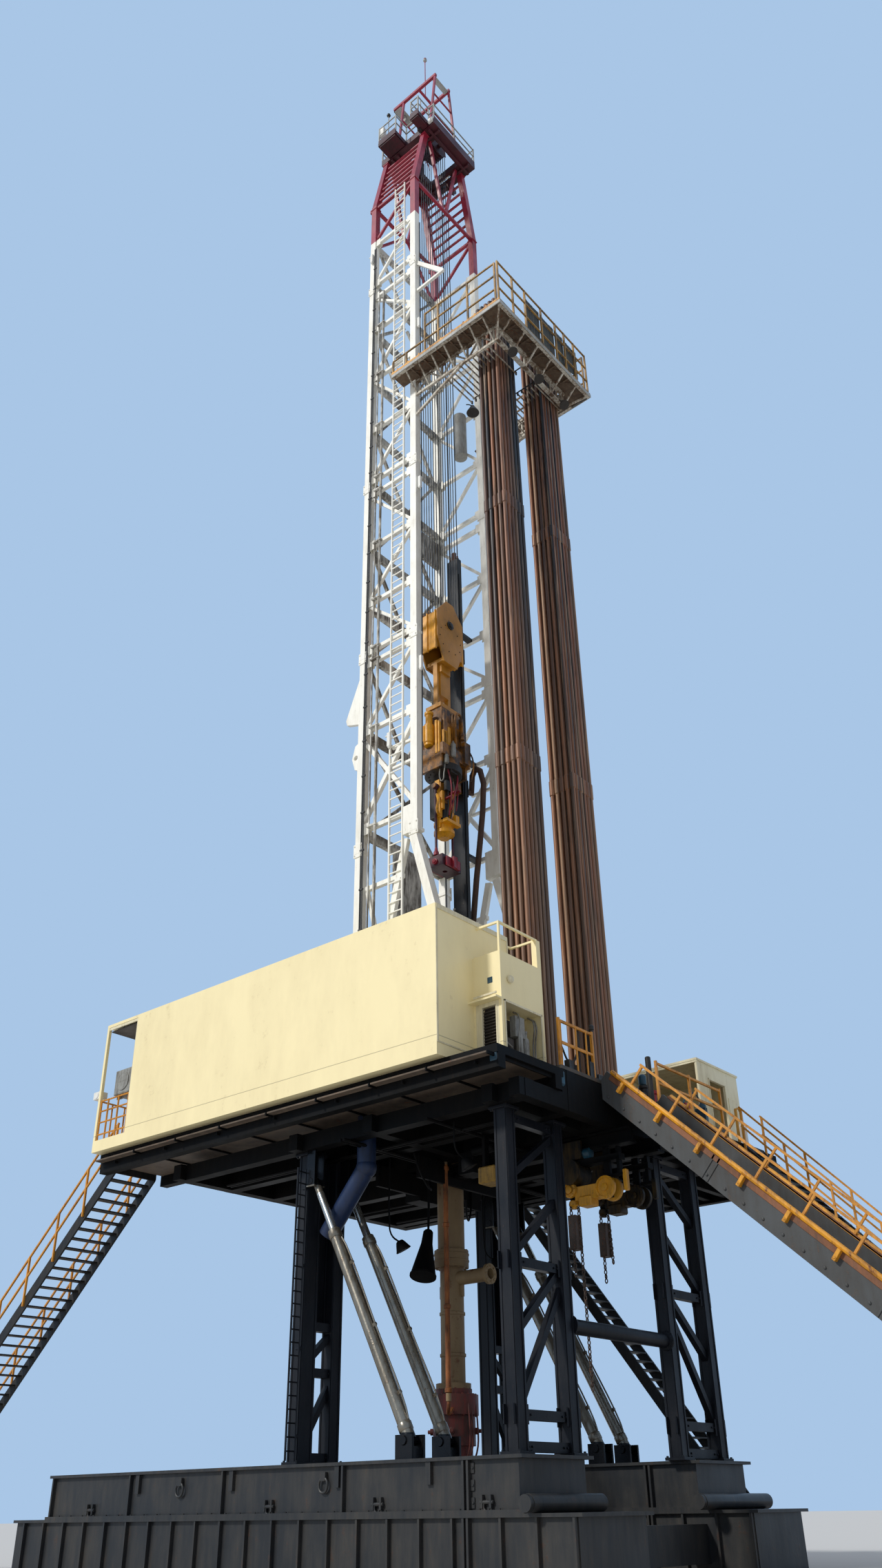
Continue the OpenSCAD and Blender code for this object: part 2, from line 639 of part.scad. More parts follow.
// Ladder on the outer face of the near side, from the floor to the knee and on up the slope
ladder_x = -15;
ladder_hw = 25;
ladder_y = -mast_hw - girt_w / 2 - 3;
module mast_ladder() {
  color([0.88, 0.88, 0.86]) {
    for (s = [-1, 1])
      block([ladder_x + s * ladder_hw - 2, ladder_y - 3, floor_z], [ladder_x + s * ladder_hw + 2, ladder_y + 3, knee_z]);
    for (z = [floor_z + 30 : 30 : knee_z - 10])
      block([ladder_x - ladder_hw, ladder_y - 1.5, z - 1.5], [ladder_x + ladder_hw, ladder_y + 1.5, z + 1.5]);
  }
}
module standpipe() {
  color([0.55, 0.56, 0.55]) {
    rod([-95, -mast_hw - girt_w / 2 - 4.8, floor_z], [-95, -mast_hw - girt_w / 2 - 4.8, 4200], 9);
    rod([-120, -mast_hw - girt_w / 2 - 2.8, floor_z], [-120, -mast_hw - girt_w / 2 - 2.8, 4200], 5);
    for (z = girts_z)
      if (z < 4200)
        block([-124, -mast_hw - girt_w / 2 - 10.5, z - 3], [-88, -mast_hw - girt_w / 2, z + 3]);
  }
}

// Crown section, painted red, narrowing to the crown frame
module crown_leg(x, s, w) {
  block([x - w / 2, s * mast_hw - w / 2, paint_z], [x + w / 2, s * mast_hw + w / 2, knee_z]);
  beam([x, s * mast_hw, knee_z - 6], [x, s * crown_hw, crown_z - 2], w - 1);
}
module crown_sides() {
  color([0.62, 0.10, 0.17])
    for (s = [-1, 1]) {
      crown_leg(leg_rear, s, leg_w);
      crown_leg(leg_front, s, leg_w);
      block([leg_rear, s * mast_hw - 6, knee_z - 16], [leg_front, s * mast_hw + 6, knee_z - 4]);
      beam([leg_rear, s * mast_hw, paint_z + 14], [leg_front, s * mast_hw, knee_z - 16], brace_w);
      for (k = [1 : 7]) {
        z = knee_z + k * (crown_z - knee_z) / 8;
        y = s * (mast_hw + k * (crown_hw - mast_hw) / 8);
        block([leg_rear, y - 4, z - 4], [leg_front, y + 4, z + 4]);
      }
      block([leg_rear - 26, s * mast_hw - 8, knee_z - 20], [leg_rear - leg_w / 2 + 1, s * mast_hw + 8, knee_z]);
    }
}
module crown_ends() {
  y = mast_hw - leg_w / 2;
  color([0.62, 0.10, 0.17]) {
    for (x = [leg_rear, leg_front]) {
      block([x - 6, -y, knee_z - 17], [x + 6, y, knee_z - 5]);
      for (s = [-1, 1])
        beam([x, s * (crown_hw - 34), crown_z - 1.3], [x, s * 12, knee_z - 11], brace_w + 1, brace_w + 2);
    }
    for (s = [-1, 1])
      beam([leg_rear, s * (y - 8), paint_z + 8], [leg_rear, s * 14, knee_z - 12], brace_w);
  }
}
module crown_platform() {
  color([0.30, 0.07, 0.11]) {
    difference() {
      union() {
        block([-178, -138, crown_z], [124, 138, crown_z + 36]);
        block([-135, -208, crown_z + 12], [-36, -137, crown_z + 36]);
        block([48, -208, crown_z + 12], [94, -137, crown_z + 36]);
      }
      block([-75, -75, crown_z - 1], [75, 75, crown_z + 40]);
      block([-52, 88, crown_z - 1], [20, 120, crown_z + 40]);
    }
  }
}
crown_pin_z = crown_z + 95;
module crown_block() {
  color([0.35, 0.08, 0.12]) {
    for (i = [0 : sheave_n - 1])
      sheave(sheave_x(i), crown_pin_z, sheave_d);
    translate([-80, 0, crown_pin_z]) rotate([0, 90, 0]) cylinder(d = 19, h = 160, $fn = 32);
    for (x = [-84, 76])
      block([x, -30, crown_z + 36], [x + 8, 30, crown_pin_z + 20]);
  }
}
module crown_rails() {
  z = crown_z + 36;
  color([0.75, 0.75, 0.73])
    handrail([[48, -136, z], [-36, -136, z], [-36, -205, z], [-132, -205, z], [-132, -136, z], [-175, -136, z], [-175, 135, z], [121, 135, z],
              [121, -136, z], [92, -136, z], [92, -205, z], [51, -205, z], [51, -136, z]], 110, 5);
}
gin_z = 5735;
module gin_pole() {
  z = crown_z + 36;
  color([0.75, 0.75, 0.73]) {
    for (x = [-130, 60])
      for (y = [-95, 95])
        beam([x, y, z + 0.42], [x, y * 0.5, gin_z + 2], 9);
    for (k = [0.4, 0.7])
      for (x = [-130, 60])
        block([x - 3, -95 + 47.5 * k, z + (gin_z - z) * k], [x + 3, 95 - 47.5 * k, z + (gin_z - z) * k + 6]);
  }
  color([0.75, 0.15, 0.15])
    for (y = [-47.5, 47.5])
      block([-190, y - 6, gin_z], [66, y + 6, gin_z + 16]);
  color([0.2, 0.4, 0.35]) {
    block([-44, -44, gin_z + 4], [-34, 44, gin_z + 12]);
    rod([-39, 0, gin_z + 8], [-39, 0, 6060], 4);
    translate([-39, 0, 6065]) sphere(d = 15);
  }
}

// Racking platform: trussed walkways round three sides, fingers between the stands, fence
truss_y = 190;
truss_z = board_z - 80;
truss_x = [420, 434];
module racking_board() {
  x0 = leg_front + leg_w / 2;
  n = 6;
  color([0.80, 0.79, 0.75]) {
    for (s = [-1, 1]) {
      yi = s * (truss_y + 4);
      for (z = [truss_z, board_z - 14])
        block([x0, yi - 4, z], [truss_x[0] - 1, yi + 4, z + 10]);
      for (i = [0 : n]) {
        x = x0 + 4 + (truss_x[0] - 9 - x0) * i / n;
        block([x - 3, yi - 3, truss_z + 5], [x + 3, yi + 3, board_z - 8]);
        beam([x, s * (board_hw - 8), board_z - 9], [x, yi, truss_z + 5], 5);
        if (i < n)
          beam([x, yi, i % 2 == 0 ? truss_z + 5 : board_z - 9], [x + (truss_x[0] - 9 - x0) / n, yi, i % 2 == 0 ? board_z - 9 : truss_z + 5], 5);
      }
      block([14, s * board_hw - 5, board_z - 14], [truss_x[0] - 1, s * board_hw + 5, board_z - 4]);
      intersection() {
        beam([x0 - 4, yi, 3394], [282, yi, truss_z + 5], 8, 10);
        block([x0, yi - 5, 3300], [board_front, yi + 5, board_z]);
      }
    }
    for (z = [truss_z, board_z - 14])
      block([truss_x[0], -truss_y - 8, z], [truss_x[1], truss_y + 8, z + 10]);
    for (y = [-truss_y : 76 : truss_y]) {
      block([truss_x[0] + 4, y - 3, truss_z + 5], [truss_x[0] + 10, y + 3, board_z - 8]);
      beam([board_front - 8, y, board_z - 9], [truss_x[0] + 7, y, truss_z + 5], 5);
    }
    for (s = [-1, 1])
      beam([board_front - 8, s * (board_hw - 2), board_z - 9], [truss_x[0] + 7, s * (truss_y + 4), truss_z + 5], 6);
    block([board_front - 10, -board_hw - 5, board_z - 14], [board_front, board_hw + 5, board_z - 4]);
  }
}
module racking_deck() {
  color([0.45, 0.36, 0.28]) {
    for (s = [-1, 1]) {
      block([14, min(s * 202, s * (board_hw + 5)), board_z - 4], [leg_front + leg_w / 2 + 1, max(s * 202, s * (board_hw + 5)), board_z]);
      block([leg_front + leg_w / 2 + 1, min(s * truss_y, s * (board_hw + 5)), board_z - 4], [truss_x[0] - 1, max(s * truss_y, s * (board_hw + 5)), board_z]);
    }
    block([truss_x[0], -board_hw - 5, board_z - 4], [board_front, board_hw + 5, board_z]);
  }
}
pitch = joint_d + stand_gap;
near_x = 309;
far_x = 330;
finger_in = 37;
module finger_board() {
  color([0.78, 0.77, 0.72]) {
    for (k = [-6 : 5])
      block([near_x + (k - 0.5) * pitch - 1.5, -truss_y, truss_z + 2], [near_x + (k - 0.5) * pitch + 1.5, -finger_in, truss_z + 8]);
    for (k = [-7 : 5])
      block([far_x + (k - 0.5) * pitch - 1.5, finger_in, truss_z + 2], [far_x + (k - 0.5) * pitch + 1.5, truss_y, truss_z + 8]);
  }
}
module board_fence() {
  z1 = fence_h;
  xf = board_front - 4;
  color([0.83, 0.58, 0.12]) {
    for (s = [-1, 1]) {
      y = s * (board_hw + 2);
      for (x = [17, 80, 167, 228, 360, xf - 12])
        block([x - 3, y - 3, board_z], [x + 3, y + 3, board_z + (x < 100 ? 70 : z1)]);
      block([14, y - 1.5, board_z], [xf - 10, y + 1.5, board_z + 16]);
      for (h = [z1 / 3, z1 * 2 / 3, z1 - 5])
        block([h < 75 ? 17 : 167, y - 2.5, board_z + h], [xf - 10, y + 2.5, board_z + h + 5]);
    }
    for (y = [-board_hw - 2, -180, -107, -12, 75, 130, 189, board_hw + 2])
      block([xf - 3, y - 3, board_z], [xf + 3, y + 3, board_z + z1]);
    for (h = [0, z1 / 3, z1 * 2 / 3, z1 - 5])
      block([xf - 2.5, -board_hw - 2, board_z + h], [xf + 2.5, board_hw + 2, board_z + h + (h == 0 ? 16 : 5)]);
  }
}
// Canvas wind covers on the inside of the front fence
module wind_covers() {
  color([0.07, 0.07, 0.08])
    block([board_front - 11, -107, board_z + 12], [board_front - 7, 215, board_z + fence_h - 18]);
}

// Stands of drill pipe set back on the floor
module stand(x, y) {
  z0 = floor_z;
  joint = stand_l / 3;
  translate([x, y, z0])
    rotate_extrude()
      polygon(concat([[0, 0]],
        [for (k = [0 : 2]) each [[joint_d / 2, k * joint], [joint_d / 2, k * joint + 22], [pipe_d / 2, k * joint + 25],
          [pipe_d / 2, (k + 1) * joint - 27], [joint_d / 2, (k + 1) * joint - 24]]],
        [[joint_d / 2, stand_l], [0, stand_l]]));
}
module pipe_stands(x0, y0, nx, ny) {
  color([0.36, 0.22, 0.16])
    for (i = [0 : nx - 1])
      for (j = [0 : ny - 1])
        stand(x0 + i * pitch, y0 + j * pitch);
}
module pipe_stands_near() { pipe_stands(near_x, -134.5, 5, 6); }
module pipe_stands_far() { pipe_stands(far_x, 92, 5, 6); }

// Torque beam that guides the top drive: hung from the crown and stayed to the far side of the mast
beam_y = 104;
beam_top = 2970;
beam_x = -22;
beam_bottom = 1150;
module torque_beam() {
  color([0.13, 0.13, 0.15]) {
    block([beam_x - 24, beam_y - 10, beam_bottom], [beam_x + 24, beam_y + 10, beam_top]);
    for (z = [girts_z[0], girts_z[1], girts_z[4]])
      block([beam_x - 10, beam_y + 9, z - 5], [beam_x + 10, mast_hw - girt_w / 2, z + 5]);
    for (x = [beam_x - 16, beam_x + 16])
      rod([x, beam_y, beam_top - 1], [x, beam_y, crown_z], 3.6);
  }
}
// Mud pipe: a gooseneck on the torque beam's far side and down to the floor
module mud_pipe() {
  y = 150;
  p = [[-12, y, 2040], [-6, y, 2105], [8, y, 2128], [26, y, 2112], [38, y, 2060], [30, y, 1960], [16, y, 1860], [-2, y, 1740], [-20, y, 1600], [-34, y, 1400], [-40, y, 1180], [-40, y, floor_z]];
  color([0.36, 0.24, 0.17]) {
    for (i = [0 : len(p) - 2])
      rod(p[i], p[i + 1], 18);
    for (i = [1 : len(p) - 2])
      translate(p[i]) sphere(d = 18.6);
    block([-18, beam_y + 10, 2036], [-6, y - 6, 2048]);
  }
}
module counterweight() {
  color([0.66, 0.68, 0.68]) {
    translate([-15, 152, 3515]) cylinder(d = 50, h = 214, $fn = 32);
    block([-20, 147, 3729], [-10, mast_hw - girt_w / 2, girts_z[9] + 6]);
  }
}

// Travelling block: sheaves on one pin along X, between cheek plates, with the hook below
sheave_n = 6;
sheave_pitch = 11;
sheave_d = 98;
function sheave_x(i) = (i - (sheave_n - 1) / 2) * sheave_pitch;
module sheave(x, z, d) {
  translate([x, 0, z])
    rotate([0, 90, 0])
      rotate_extrude($fn = 48)
        polygon([[9, -4.5], [d / 2 - 8, -4.5], [d / 2, -5], [d / 2, -4], [d / 2 - 4, -1.5], [d / 2 - 4, 1.5],
                 [d / 2, 4], [d / 2, 5], [d / 2 - 8, 4.5], [9, 4.5]]);
}
block_pin_z = block_z - 93;
cheek_x = sheave_n * sheave_pitch / 2 + 1;
cheek = [[-18, 0], [18, 0], [32, -20], [block_w / 2, -60], [block_w / 2, -165], [33, -250], [-33, -250], [-block_w / 2, -165], [-block_w / 2, -60], [-32, -20]];
module travelling_block() {
  color([0.84, 0.58, 0.10]) {
    for (i = [0 : sheave_n - 1])
      sheave(sheave_x(i), block_pin_z, sheave_d);
    translate([-cheek_x - 6, 0, block_pin_z]) rotate([0, 90, 0]) cylinder(d = 19, h = cheek_x * 2 + 12, $fn = 32);
    for (s = [-1, 1])
      translate([s * (cheek_x + 2.5) - 2.5, 0, block_z]) rotate([90, 0, 90]) linear_extrude(5) polygon(cheek);
    for (s = [-1, 1])
      difference() {
        block([-cheek_x, s * (block_w / 2 - 6) - 4, block_z - 205], [cheek_x, s * (block_w / 2 - 6) + 4, block_z - 70]);
        for (x = [-20, 0, 20])
          block([x - 5, s * block_w / 2 - 3, block_z - 190], [x + 5, s * block_w / 2 + 3, block_z - 85]);
      }
    block([-cheek_x, -32, block_z - 245], [cheek_x, 32, block_z - 232]);
  }
  color([0.30, 0.24, 0.18]) {
    block([-18, -22, block_z - 275], [18, 22, block_z - 245]);
    for (s = [-1, 1])
      block([-8, s * 26 - 6, drive_top], [8, s * 26 + 6, block_z - 240]);
    block([-12, -20, drive_top + 60], [12, 20, block_z - 270]);
    block([-30, -44, drive_top], [30, 44, drive_top + 14]);
  }
}
drive_top = block_z - 250 - hook_l;
link_pin_d = 10;
module top_drive() {
  z = drive_top;
  zb = z - drive_h;
  color([0.80, 0.54, 0.12]) {
    block([-30, -40, z - 60], [30, 44, z]);
    block([-36, -54, z - 150], [40, 62, z - 60]);
    for (y = [-40, 0, 40])
      block([38, y - 7, z - 145], [46, y + 7, z - 20]);
    block([-46, -60, zb + 40], [50, 70, z - 150]);
    for (s = [-1, 1])
      block([-40, s * 56 - 4, zb - 2], [44, s * 56 + 4, zb + 42]);
  }
  color([0.13, 0.13, 0.15]) {
    for (dz = [60, 210])
      block([beam_x - 20, 60, z - dz - 40], [beam_x + 20, beam_y - 16, z - dz]);
    translate([0, 0, zb]) cylinder(d = 104, h = 40.5, $fn = 32);
    translate([0, 0, zb - 100]) cylinder(d = 34, h = 100.5, $fn = 32);
    block([-14, -30, zb - 64], [14, 30, zb - 36]);
    translate([0, 0, zb - 50]) rotate([90, 0, 0]) translate([0, 0, -46]) cylinder(d = link_pin_d, h = 92);
    for (s = [-1, 1])
      translate([0, s * 46, zb - 50]) rotate([90, 0, 0]) translate([0, 0, -1.5]) cylinder(d = 16, h = 3);
  }
}
link_z = drive_top - drive_h - 50;
module elevator_links() {
  color([0.55, 0.10, 0.16]) {
    for (s = [-1, 1]) {
      rod([0, s * 38, link_z - 8], [0, s * 38, link_z - link_l - 2], 8);
      difference() {
        translate([0, s * 38, link_z]) rotate([90, 0, 0]) translate([0, 0, -6]) cylinder(d = 20, h = 12);
        translate([0, s * 38, link_z]) rotate([90, 0, 0]) translate([0, 0, -7]) cylinder(d = link_pin_d + 0.1, h = 14);
      }
    }
    difference() {
      block([-26, -42, link_z - link_l - 36], [26, 42, link_z - link_l]);
      translate([0, 0, link_z - link_l - 40]) cylinder(d = 14, h = 50);
    }
  }
}
line_d = 3.2;
line_y = sheave_d / 2 - 4 + line_d / 2 + 0.2;
module drilling_lines() {
  color([0.2, 0.2, 0.2])
    for (i = [0 : sheave_n - 1])
      for (s = [-1, 1])
        rod([sheave_x(i), s * line_y, block_pin_z], [sheave_x(i), s * line_y, crown_pin_z], line_d);
}

base_box_near();
base_box_far();
base_spreaders();
tower_front_near();
tower_front_far();
tower_rear_near();
tower_rear_far();
tower_strut();
cross_tubes();
floor_frame();
floor_deck();
rotary_table();
raising_cylinders();
bop_stack();
bell_nipple();
hoist_beam();
bop_trolley();
air_duct();
doghouse_platform();
doghouse_walls();
doghouse_roof();
end_cabin();
roof_rail();
shelter_platform();
shelter_walls();
shelter_roof();
floor_rails();
ramp();
ramp_rails();
stair_left();
stair_back();
stair_right();
stair_rails();
mast_base();
mast_side_near();
mast_side_far();
mast_back();
mast_ladder();
standpipe();
crown_sides();
crown_ends();
crown_platform();
crown_block();
crown_rails();
gin_pole();
racking_board();
racking_deck();
finger_board();
board_fence();
wind_covers();
pipe_stands_near();
pipe_stands_far();
torque_beam();
mud_pipe();
counterweight();
travelling_block();
top_drive();
elevator_links();
drilling_lines();
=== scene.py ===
# Land drilling rig, a 1:10 scale model. Every length is in metres in the CAD's frame:
# the origin is on the ground at the well, +X is the pipe ramp's side, -Y the doghouse's.
import math
import random

import bpy
from mathutils import Euler, Matrix, Vector


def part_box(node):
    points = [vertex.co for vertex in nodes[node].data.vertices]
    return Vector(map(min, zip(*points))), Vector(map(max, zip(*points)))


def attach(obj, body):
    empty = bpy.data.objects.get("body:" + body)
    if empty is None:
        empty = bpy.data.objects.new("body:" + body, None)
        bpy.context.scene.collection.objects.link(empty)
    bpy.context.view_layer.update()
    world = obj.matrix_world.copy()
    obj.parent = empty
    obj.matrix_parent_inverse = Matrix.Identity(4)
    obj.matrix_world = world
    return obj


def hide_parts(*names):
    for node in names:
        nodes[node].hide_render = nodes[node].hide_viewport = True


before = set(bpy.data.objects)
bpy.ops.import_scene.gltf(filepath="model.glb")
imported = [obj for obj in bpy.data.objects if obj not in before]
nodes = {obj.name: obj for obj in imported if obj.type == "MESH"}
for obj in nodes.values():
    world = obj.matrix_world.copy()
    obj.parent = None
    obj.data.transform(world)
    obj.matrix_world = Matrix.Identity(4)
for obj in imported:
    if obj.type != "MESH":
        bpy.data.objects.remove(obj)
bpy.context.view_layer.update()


# Camera: stands near the ground off the front corner on the doghouse's side and looks up.
# Its height, turn and lens come from the mast's parallel edges and the doghouse's edges.
CAMERA_PLACE = (2.0, -2.413, 0.12)
CAMERA_TURN = math.radians(39.79)
CAMERA_LIFT = math.radians(31.05)
CAMERA_ROLL = math.radians(-0.894)
LENS = 1753.3 / 2276 * 36

camera_data = bpy.data.cameras.new("camera")
camera_data.sensor_fit = "VERTICAL"
camera_data.sensor_height = 36
camera_data.sensor_width = 36 * 1280 / 2276
camera_data.lens = LENS
camera_data.clip_end = 60
camera = bpy.data.objects.new("camera", camera_data)
bpy.context.collection.objects.link(camera)
camera.location = CAMERA_PLACE
camera.rotation_euler = (
    Matrix.Rotation(CAMERA_TURN, 3, "Z")
    @ Matrix.Rotation(math.pi / 2 + CAMERA_LIFT, 3, "X")
    @ Matrix.Rotation(CAMERA_ROLL, 3, "Z")
).to_euler()
bpy.context.scene.camera = camera
bpy.context.scene.view_settings.view_transform = "Standard"


# Stage: a plain pale floor, and a pale blue-grey surround that only the camera, gloss and
# glass see. The light is a soft overcast from all round with one broad sun from the left.
def linear(hex_colour, alpha=1.0):
    channels = [int(hex_colour[i : i + 2], 16) / 255 for i in (1, 3, 5)]
    return tuple(
        c / 12.92 if c <= 0.04045 else ((c + 0.055) / 1.055) ** 2.4 for c in channels
    ) + (alpha,)


def add(tree, kind, inputs=None, **settings):
    """A shader node; each input is a value or another node with one of its outputs."""
    made = tree.nodes.new("ShaderNode" + kind)
    for key, value in settings.items():
        setattr(made, key, value)
    for key, value in (inputs or {}).items():
        if isinstance(value, tuple) and isinstance(value[0], bpy.types.Node):
            tree.links.new(value[0].outputs[value[1]], made.inputs[key])
        else:
            made.inputs[key].default_value = value
    return made


def maths(tree, operation, *values):
    return add(tree, "Math", dict(enumerate(values)), operation=operation), 0


world = bpy.data.worlds.new("surround")
bpy.context.scene.world = world
world.use_nodes = True
sky = world.node_tree
sky.nodes.clear()
rays = add(sky, "LightPath")
seen = maths(sky, "MAXIMUM", (rays, "Is Camera Ray"), (rays, "Is Glossy Ray"))
seen = maths(sky, "MAXIMUM", seen, (rays, "Is Transmission Ray"))
ambient = add(sky, "Background", {"Color": linear("#F4F8FF"), "Strength": 0.42})
backdrop = add(sky, "Background", {"Color": linear("#A9C6E6"), "Strength": 1.0})
blend = add(sky, "MixShader", {0: seen, 1: (ambient, 0), 2: (backdrop, 0)})
add(sky, "OutputWorld", {"Surface": (blend, 0)})

sun_data = bpy.data.lights.new("sun", "SUN")
sun_data.energy = 2.15
sun_data.angle = math.radians(6)
sun_data.color = (1.0, 0.97, 0.91)
sun = bpy.data.objects.new("sun", sun_data)
bpy.context.collection.objects.link(sun)
sun.rotation_euler = Vector((0.30, 0.80, -0.62)).to_track_quat("-Z", "Y").to_euler()

bpy.ops.object.select_all(action="DESELECT")
bpy.ops.mesh.primitive_plane_add(size=60, location=(0, 0, -0.0005))
floor = bpy.context.object
floor.name = "floor"
floor_finish = bpy.data.materials.new("pale_floor")
floor_finish.use_nodes = True
floor_look = floor_finish.node_tree.nodes["Principled BSDF"].inputs
floor_look["Base Color"].default_value = linear("#D9DADB")
floor_look["Roughness"].default_value = 0.9
floor.data.materials.append(floor_finish)


# Base boxes: black-painted box girders that the whole rig stands on, two high on each side.
# The paint is rolled on and satin, dulled by a film of dried mud and rust that runs from the
# flanges; nothing is pressed or cast, the plates are flat with a faint roll of the steel.
def new_finish(name):
    """An empty material, its shader tree and the object's own coordinates."""
    material = bpy.data.materials.new(name)
    material.use_nodes = True
    tree = material.node_tree
    tree.nodes.clear()
    return material, tree, (add(tree, "TexCoord"), "Object")


def stretched(tree, place, scale):
    return add(tree, "Mapping", {"Vector": place, "Scale": scale}), 0


def noise(tree, place, scale, detail, roughness):
    inputs = {"Vector": place, "Scale": scale, "Detail": detail, "Roughness": roughness}
    return add(tree, "TexNoise", inputs), 0


def spread(tree, value, first, last, low=0.0, high=1.0):
    """Runs from low to high while the value runs from first to last."""
    inputs = {"Value": value, "From Min": first, "From Max": last, "To Min": low, "To Max": high}
    return add(tree, "MapRange", inputs), 0


def mixed(tree, mask, under, over):
    """One colour laid over another by a mask."""
    return add(tree, "Mix", {"Factor": mask, 6: under, 7: linear(over)}, data_type="RGBA"), 2


def painted_steel(
    name, paint, dirt, rust, patch=0.03, dirty=0.5, rusty=0.2, rough=0.4, streak=6.0, gloss=0.5
):
    """Gloss or satin enamel on rolled steel: tone varies in patches, dirt lies in runs down
    the surface, rust breaks out in small spots and short runs. The patches' size is in metres;
    dirty and rusty are shares of the surface."""
    material, tree, place = new_finish(name)
    runs = noise(tree, stretched(tree, place, (streak, streak, 1.0)), 0.9 / patch, 5.0, 0.62)
    blotches = noise(tree, place, 0.45 / patch, 4.0, 0.6)
    specks = noise(tree, place, 7.0 / patch, 3.0, 0.7)
    dirt_mask = maths(tree, "MULTIPLY", runs, blotches)
    dirt_mask = spread(tree, dirt_mask, 0.16, 0.42, high=2 * dirty)
    rust_mask = maths(tree, "MULTIPLY", specks, runs)
    first, last = 0.36 - 0.14 * rusty, 0.46 - 0.14 * rusty
    rust_mask = spread(tree, rust_mask, first, last, high=min(1.0, 4 * rusty))
    colour = mixed(tree, dirt_mask, linear(paint), dirt)
    colour = mixed(tree, rust_mask, colour, rust)
    dull = spread(tree, blotches, 0.3, 0.7, rough - 0.08, rough + 0.18)
    relief = maths(tree, "ADD", specks, rust_mask)
    bump = add(tree, "Bump", {"Height": relief, "Strength": 0.25, "Distance": 0.0008})
    look = {
        "Base Color": colour, "Roughness": dull, "Normal": (bump, 0), "Specular IOR Level": gloss
    }
    add(tree, "OutputMaterial", {"Surface": (add(tree, "BsdfPrincipled", look), 0)})
    return material


def dress(material, *node_names):
    """Gives the finish to CAD nodes and passes it on."""
    for node_name in node_names:
        mesh = nodes[node_name].data
        mesh.materials.clear()
        mesh.materials.append(material)
    return material


black_enamel = dress(
    painted_steel(
        "black_enamel_on_plate", "#26282B", "#4A4640", "#4B3428", patch=0.09, dirty=0.3,
        rusty=0.12, gloss=0.35,
    ), "base_box_near", "base_box_far", "base_spreaders", "cross_tubes",
)


# Towers and struts: square tube in blue-black enamel, bolted between base and floor.
navy_enamel = dress(
    painted_steel(
        "blue_black_enamel_on_tube", "#10131A", "#24262B", "#3E2D26", patch=0.05, dirty=0.3,
        rusty=0.1, rough=0.42, gloss=0.25,
    ), *(n for n in nodes if n.startswith("tower_")),
)


# Drill floor: black beams under a chequer plate deck, and the cast rotary table in it.
# The beams' black is taken down to near-black: real black paint with painted shade for the dark
# under the floor.
floor_black_and_shade = dress(
    painted_steel(
        "dull_black_paint_and_painted_shade_on_beams", "#08090A", "#171412", "#22180F", patch=0.08, dirty=0.4,
        rusty=0.12, rough=0.6, gloss=0.12,
    ), "floor_frame", "doghouse_platform", "shelter_platform", "hoist_beam",
)
deck_steel = dress(
    painted_steel(
        "worn_deck_plate", "#3B3834", "#554C42", "#5A3A26", patch=0.1, dirty=0.6, rusty=0.3,
        rough=0.6,
    ), "floor_deck", "rotary_table",
)


# Raising cylinders: bare chromed rods and grey painted barrels with clevis feet.
cylinder_grey = dress(
    painted_steel("oily_grey_cylinder", "#8A8478", "#5E5446", "#5A4430", patch=0.05, rough=0.26),
    "raising_cylinders",
)
cylinder_grey.node_tree.nodes["Principled BSDF"].inputs["Metallic"].default_value = 0.55


def overpaint(material, mask_of, colour):
    """Lays a colour over a finish, by a mask made from the height."""
    tree = material.node_tree
    base = tree.nodes["Principled BSDF"].inputs["Base Color"]
    under = base.links[0].from_node, 2
    level = add(tree, "SeparateXYZ", {"Vector": (add(tree, "TexCoord"), "Object")})
    over, output = mixed(tree, mask_of(tree, (level, "Z")), under, colour)
    tree.links.new(over.outputs[output], base)


def black_ends(tree, height):
    """Feet and heads are painted black."""
    foot_top, head_bottom = 0.254, 0.772
    foot = maths(tree, "LESS_THAN", height, foot_top)
    return maths(tree, "MAXIMUM", foot, maths(tree, "GREATER_THAN", height, head_bottom))


overpaint(cylinder_grey, black_ends, "#17181B")


# Well centre: preventers in oxide red, the mud return pipe above in tan, both oily and rusted.
oxide_red = dress(
    painted_steel(
        "oxide_red_on_forgings", "#7A2A22", "#4A3026", "#4E2E1E", patch=0.05, dirty=0.7, rusty=0.4,
        rough=0.5,
    ), "bop_stack",
)
mud_tan = dress(
    painted_steel(
        "tan_paint_with_mud", "#97815F", "#6A543C", "#6A4228", patch=0.16, rusty=0.3, rough=0.6,
        streak=2.5,
    ), "bell_nipple",
)
# The duct's blue is taken down to dark navy: real blue paint with painted shade for its place under
# the floor.
duct_blue = dress(
    painted_steel(
        "blue_duct_paint_and_painted_shade", "#11294F", "#111A2C", "#33302E", patch=0.06, rusty=0.08, rough=0.45
    ), "air_duct",
)
hoist_yellow = painted_steel("hoist_yellow", "#D99A1E", "#8A6A2E", "#6B4320", dirty=0.4)
# The trolley and its far drums take a near-black copy of the hoist yellow: real grease with painted
# shade under the floor.
greasy_shaded_yellow = dress(
    painted_steel(
        "greased_and_shaded_yellow_on_trolley", "#3E2F14", "#0E0D0B", "#2A1C10", patch=0.04, dirty=1.0,
        rusty=0.3, rough=0.5, gloss=0.3,
    ), "bop_trolley",
)


# Cabins: folded steel sheet in cream enamel, streaked by rain.
cream_enamel = dress(
    painted_steel(
        "cream_enamel_on_sheet", "#FFF0BE", "#DECEA0", "#9A7A4E", patch=0.14, dirty=0.22,
        rusty=0.05, rough=0.42, streak=3.0,
    ), "doghouse_walls", "doghouse_roof", "end_cabin", "roof_rail",
)


def sill_seam(tree, height):
    """The wall sheet is lapped over a separate sill: a thin shadow line all round it."""
    lap, half_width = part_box("doghouse_walls")[0][2] + 0.042, 0.0009
    return maths(tree, "MULTIPLY", maths(tree, "COMPARE", height, lap, half_width), 0.5)


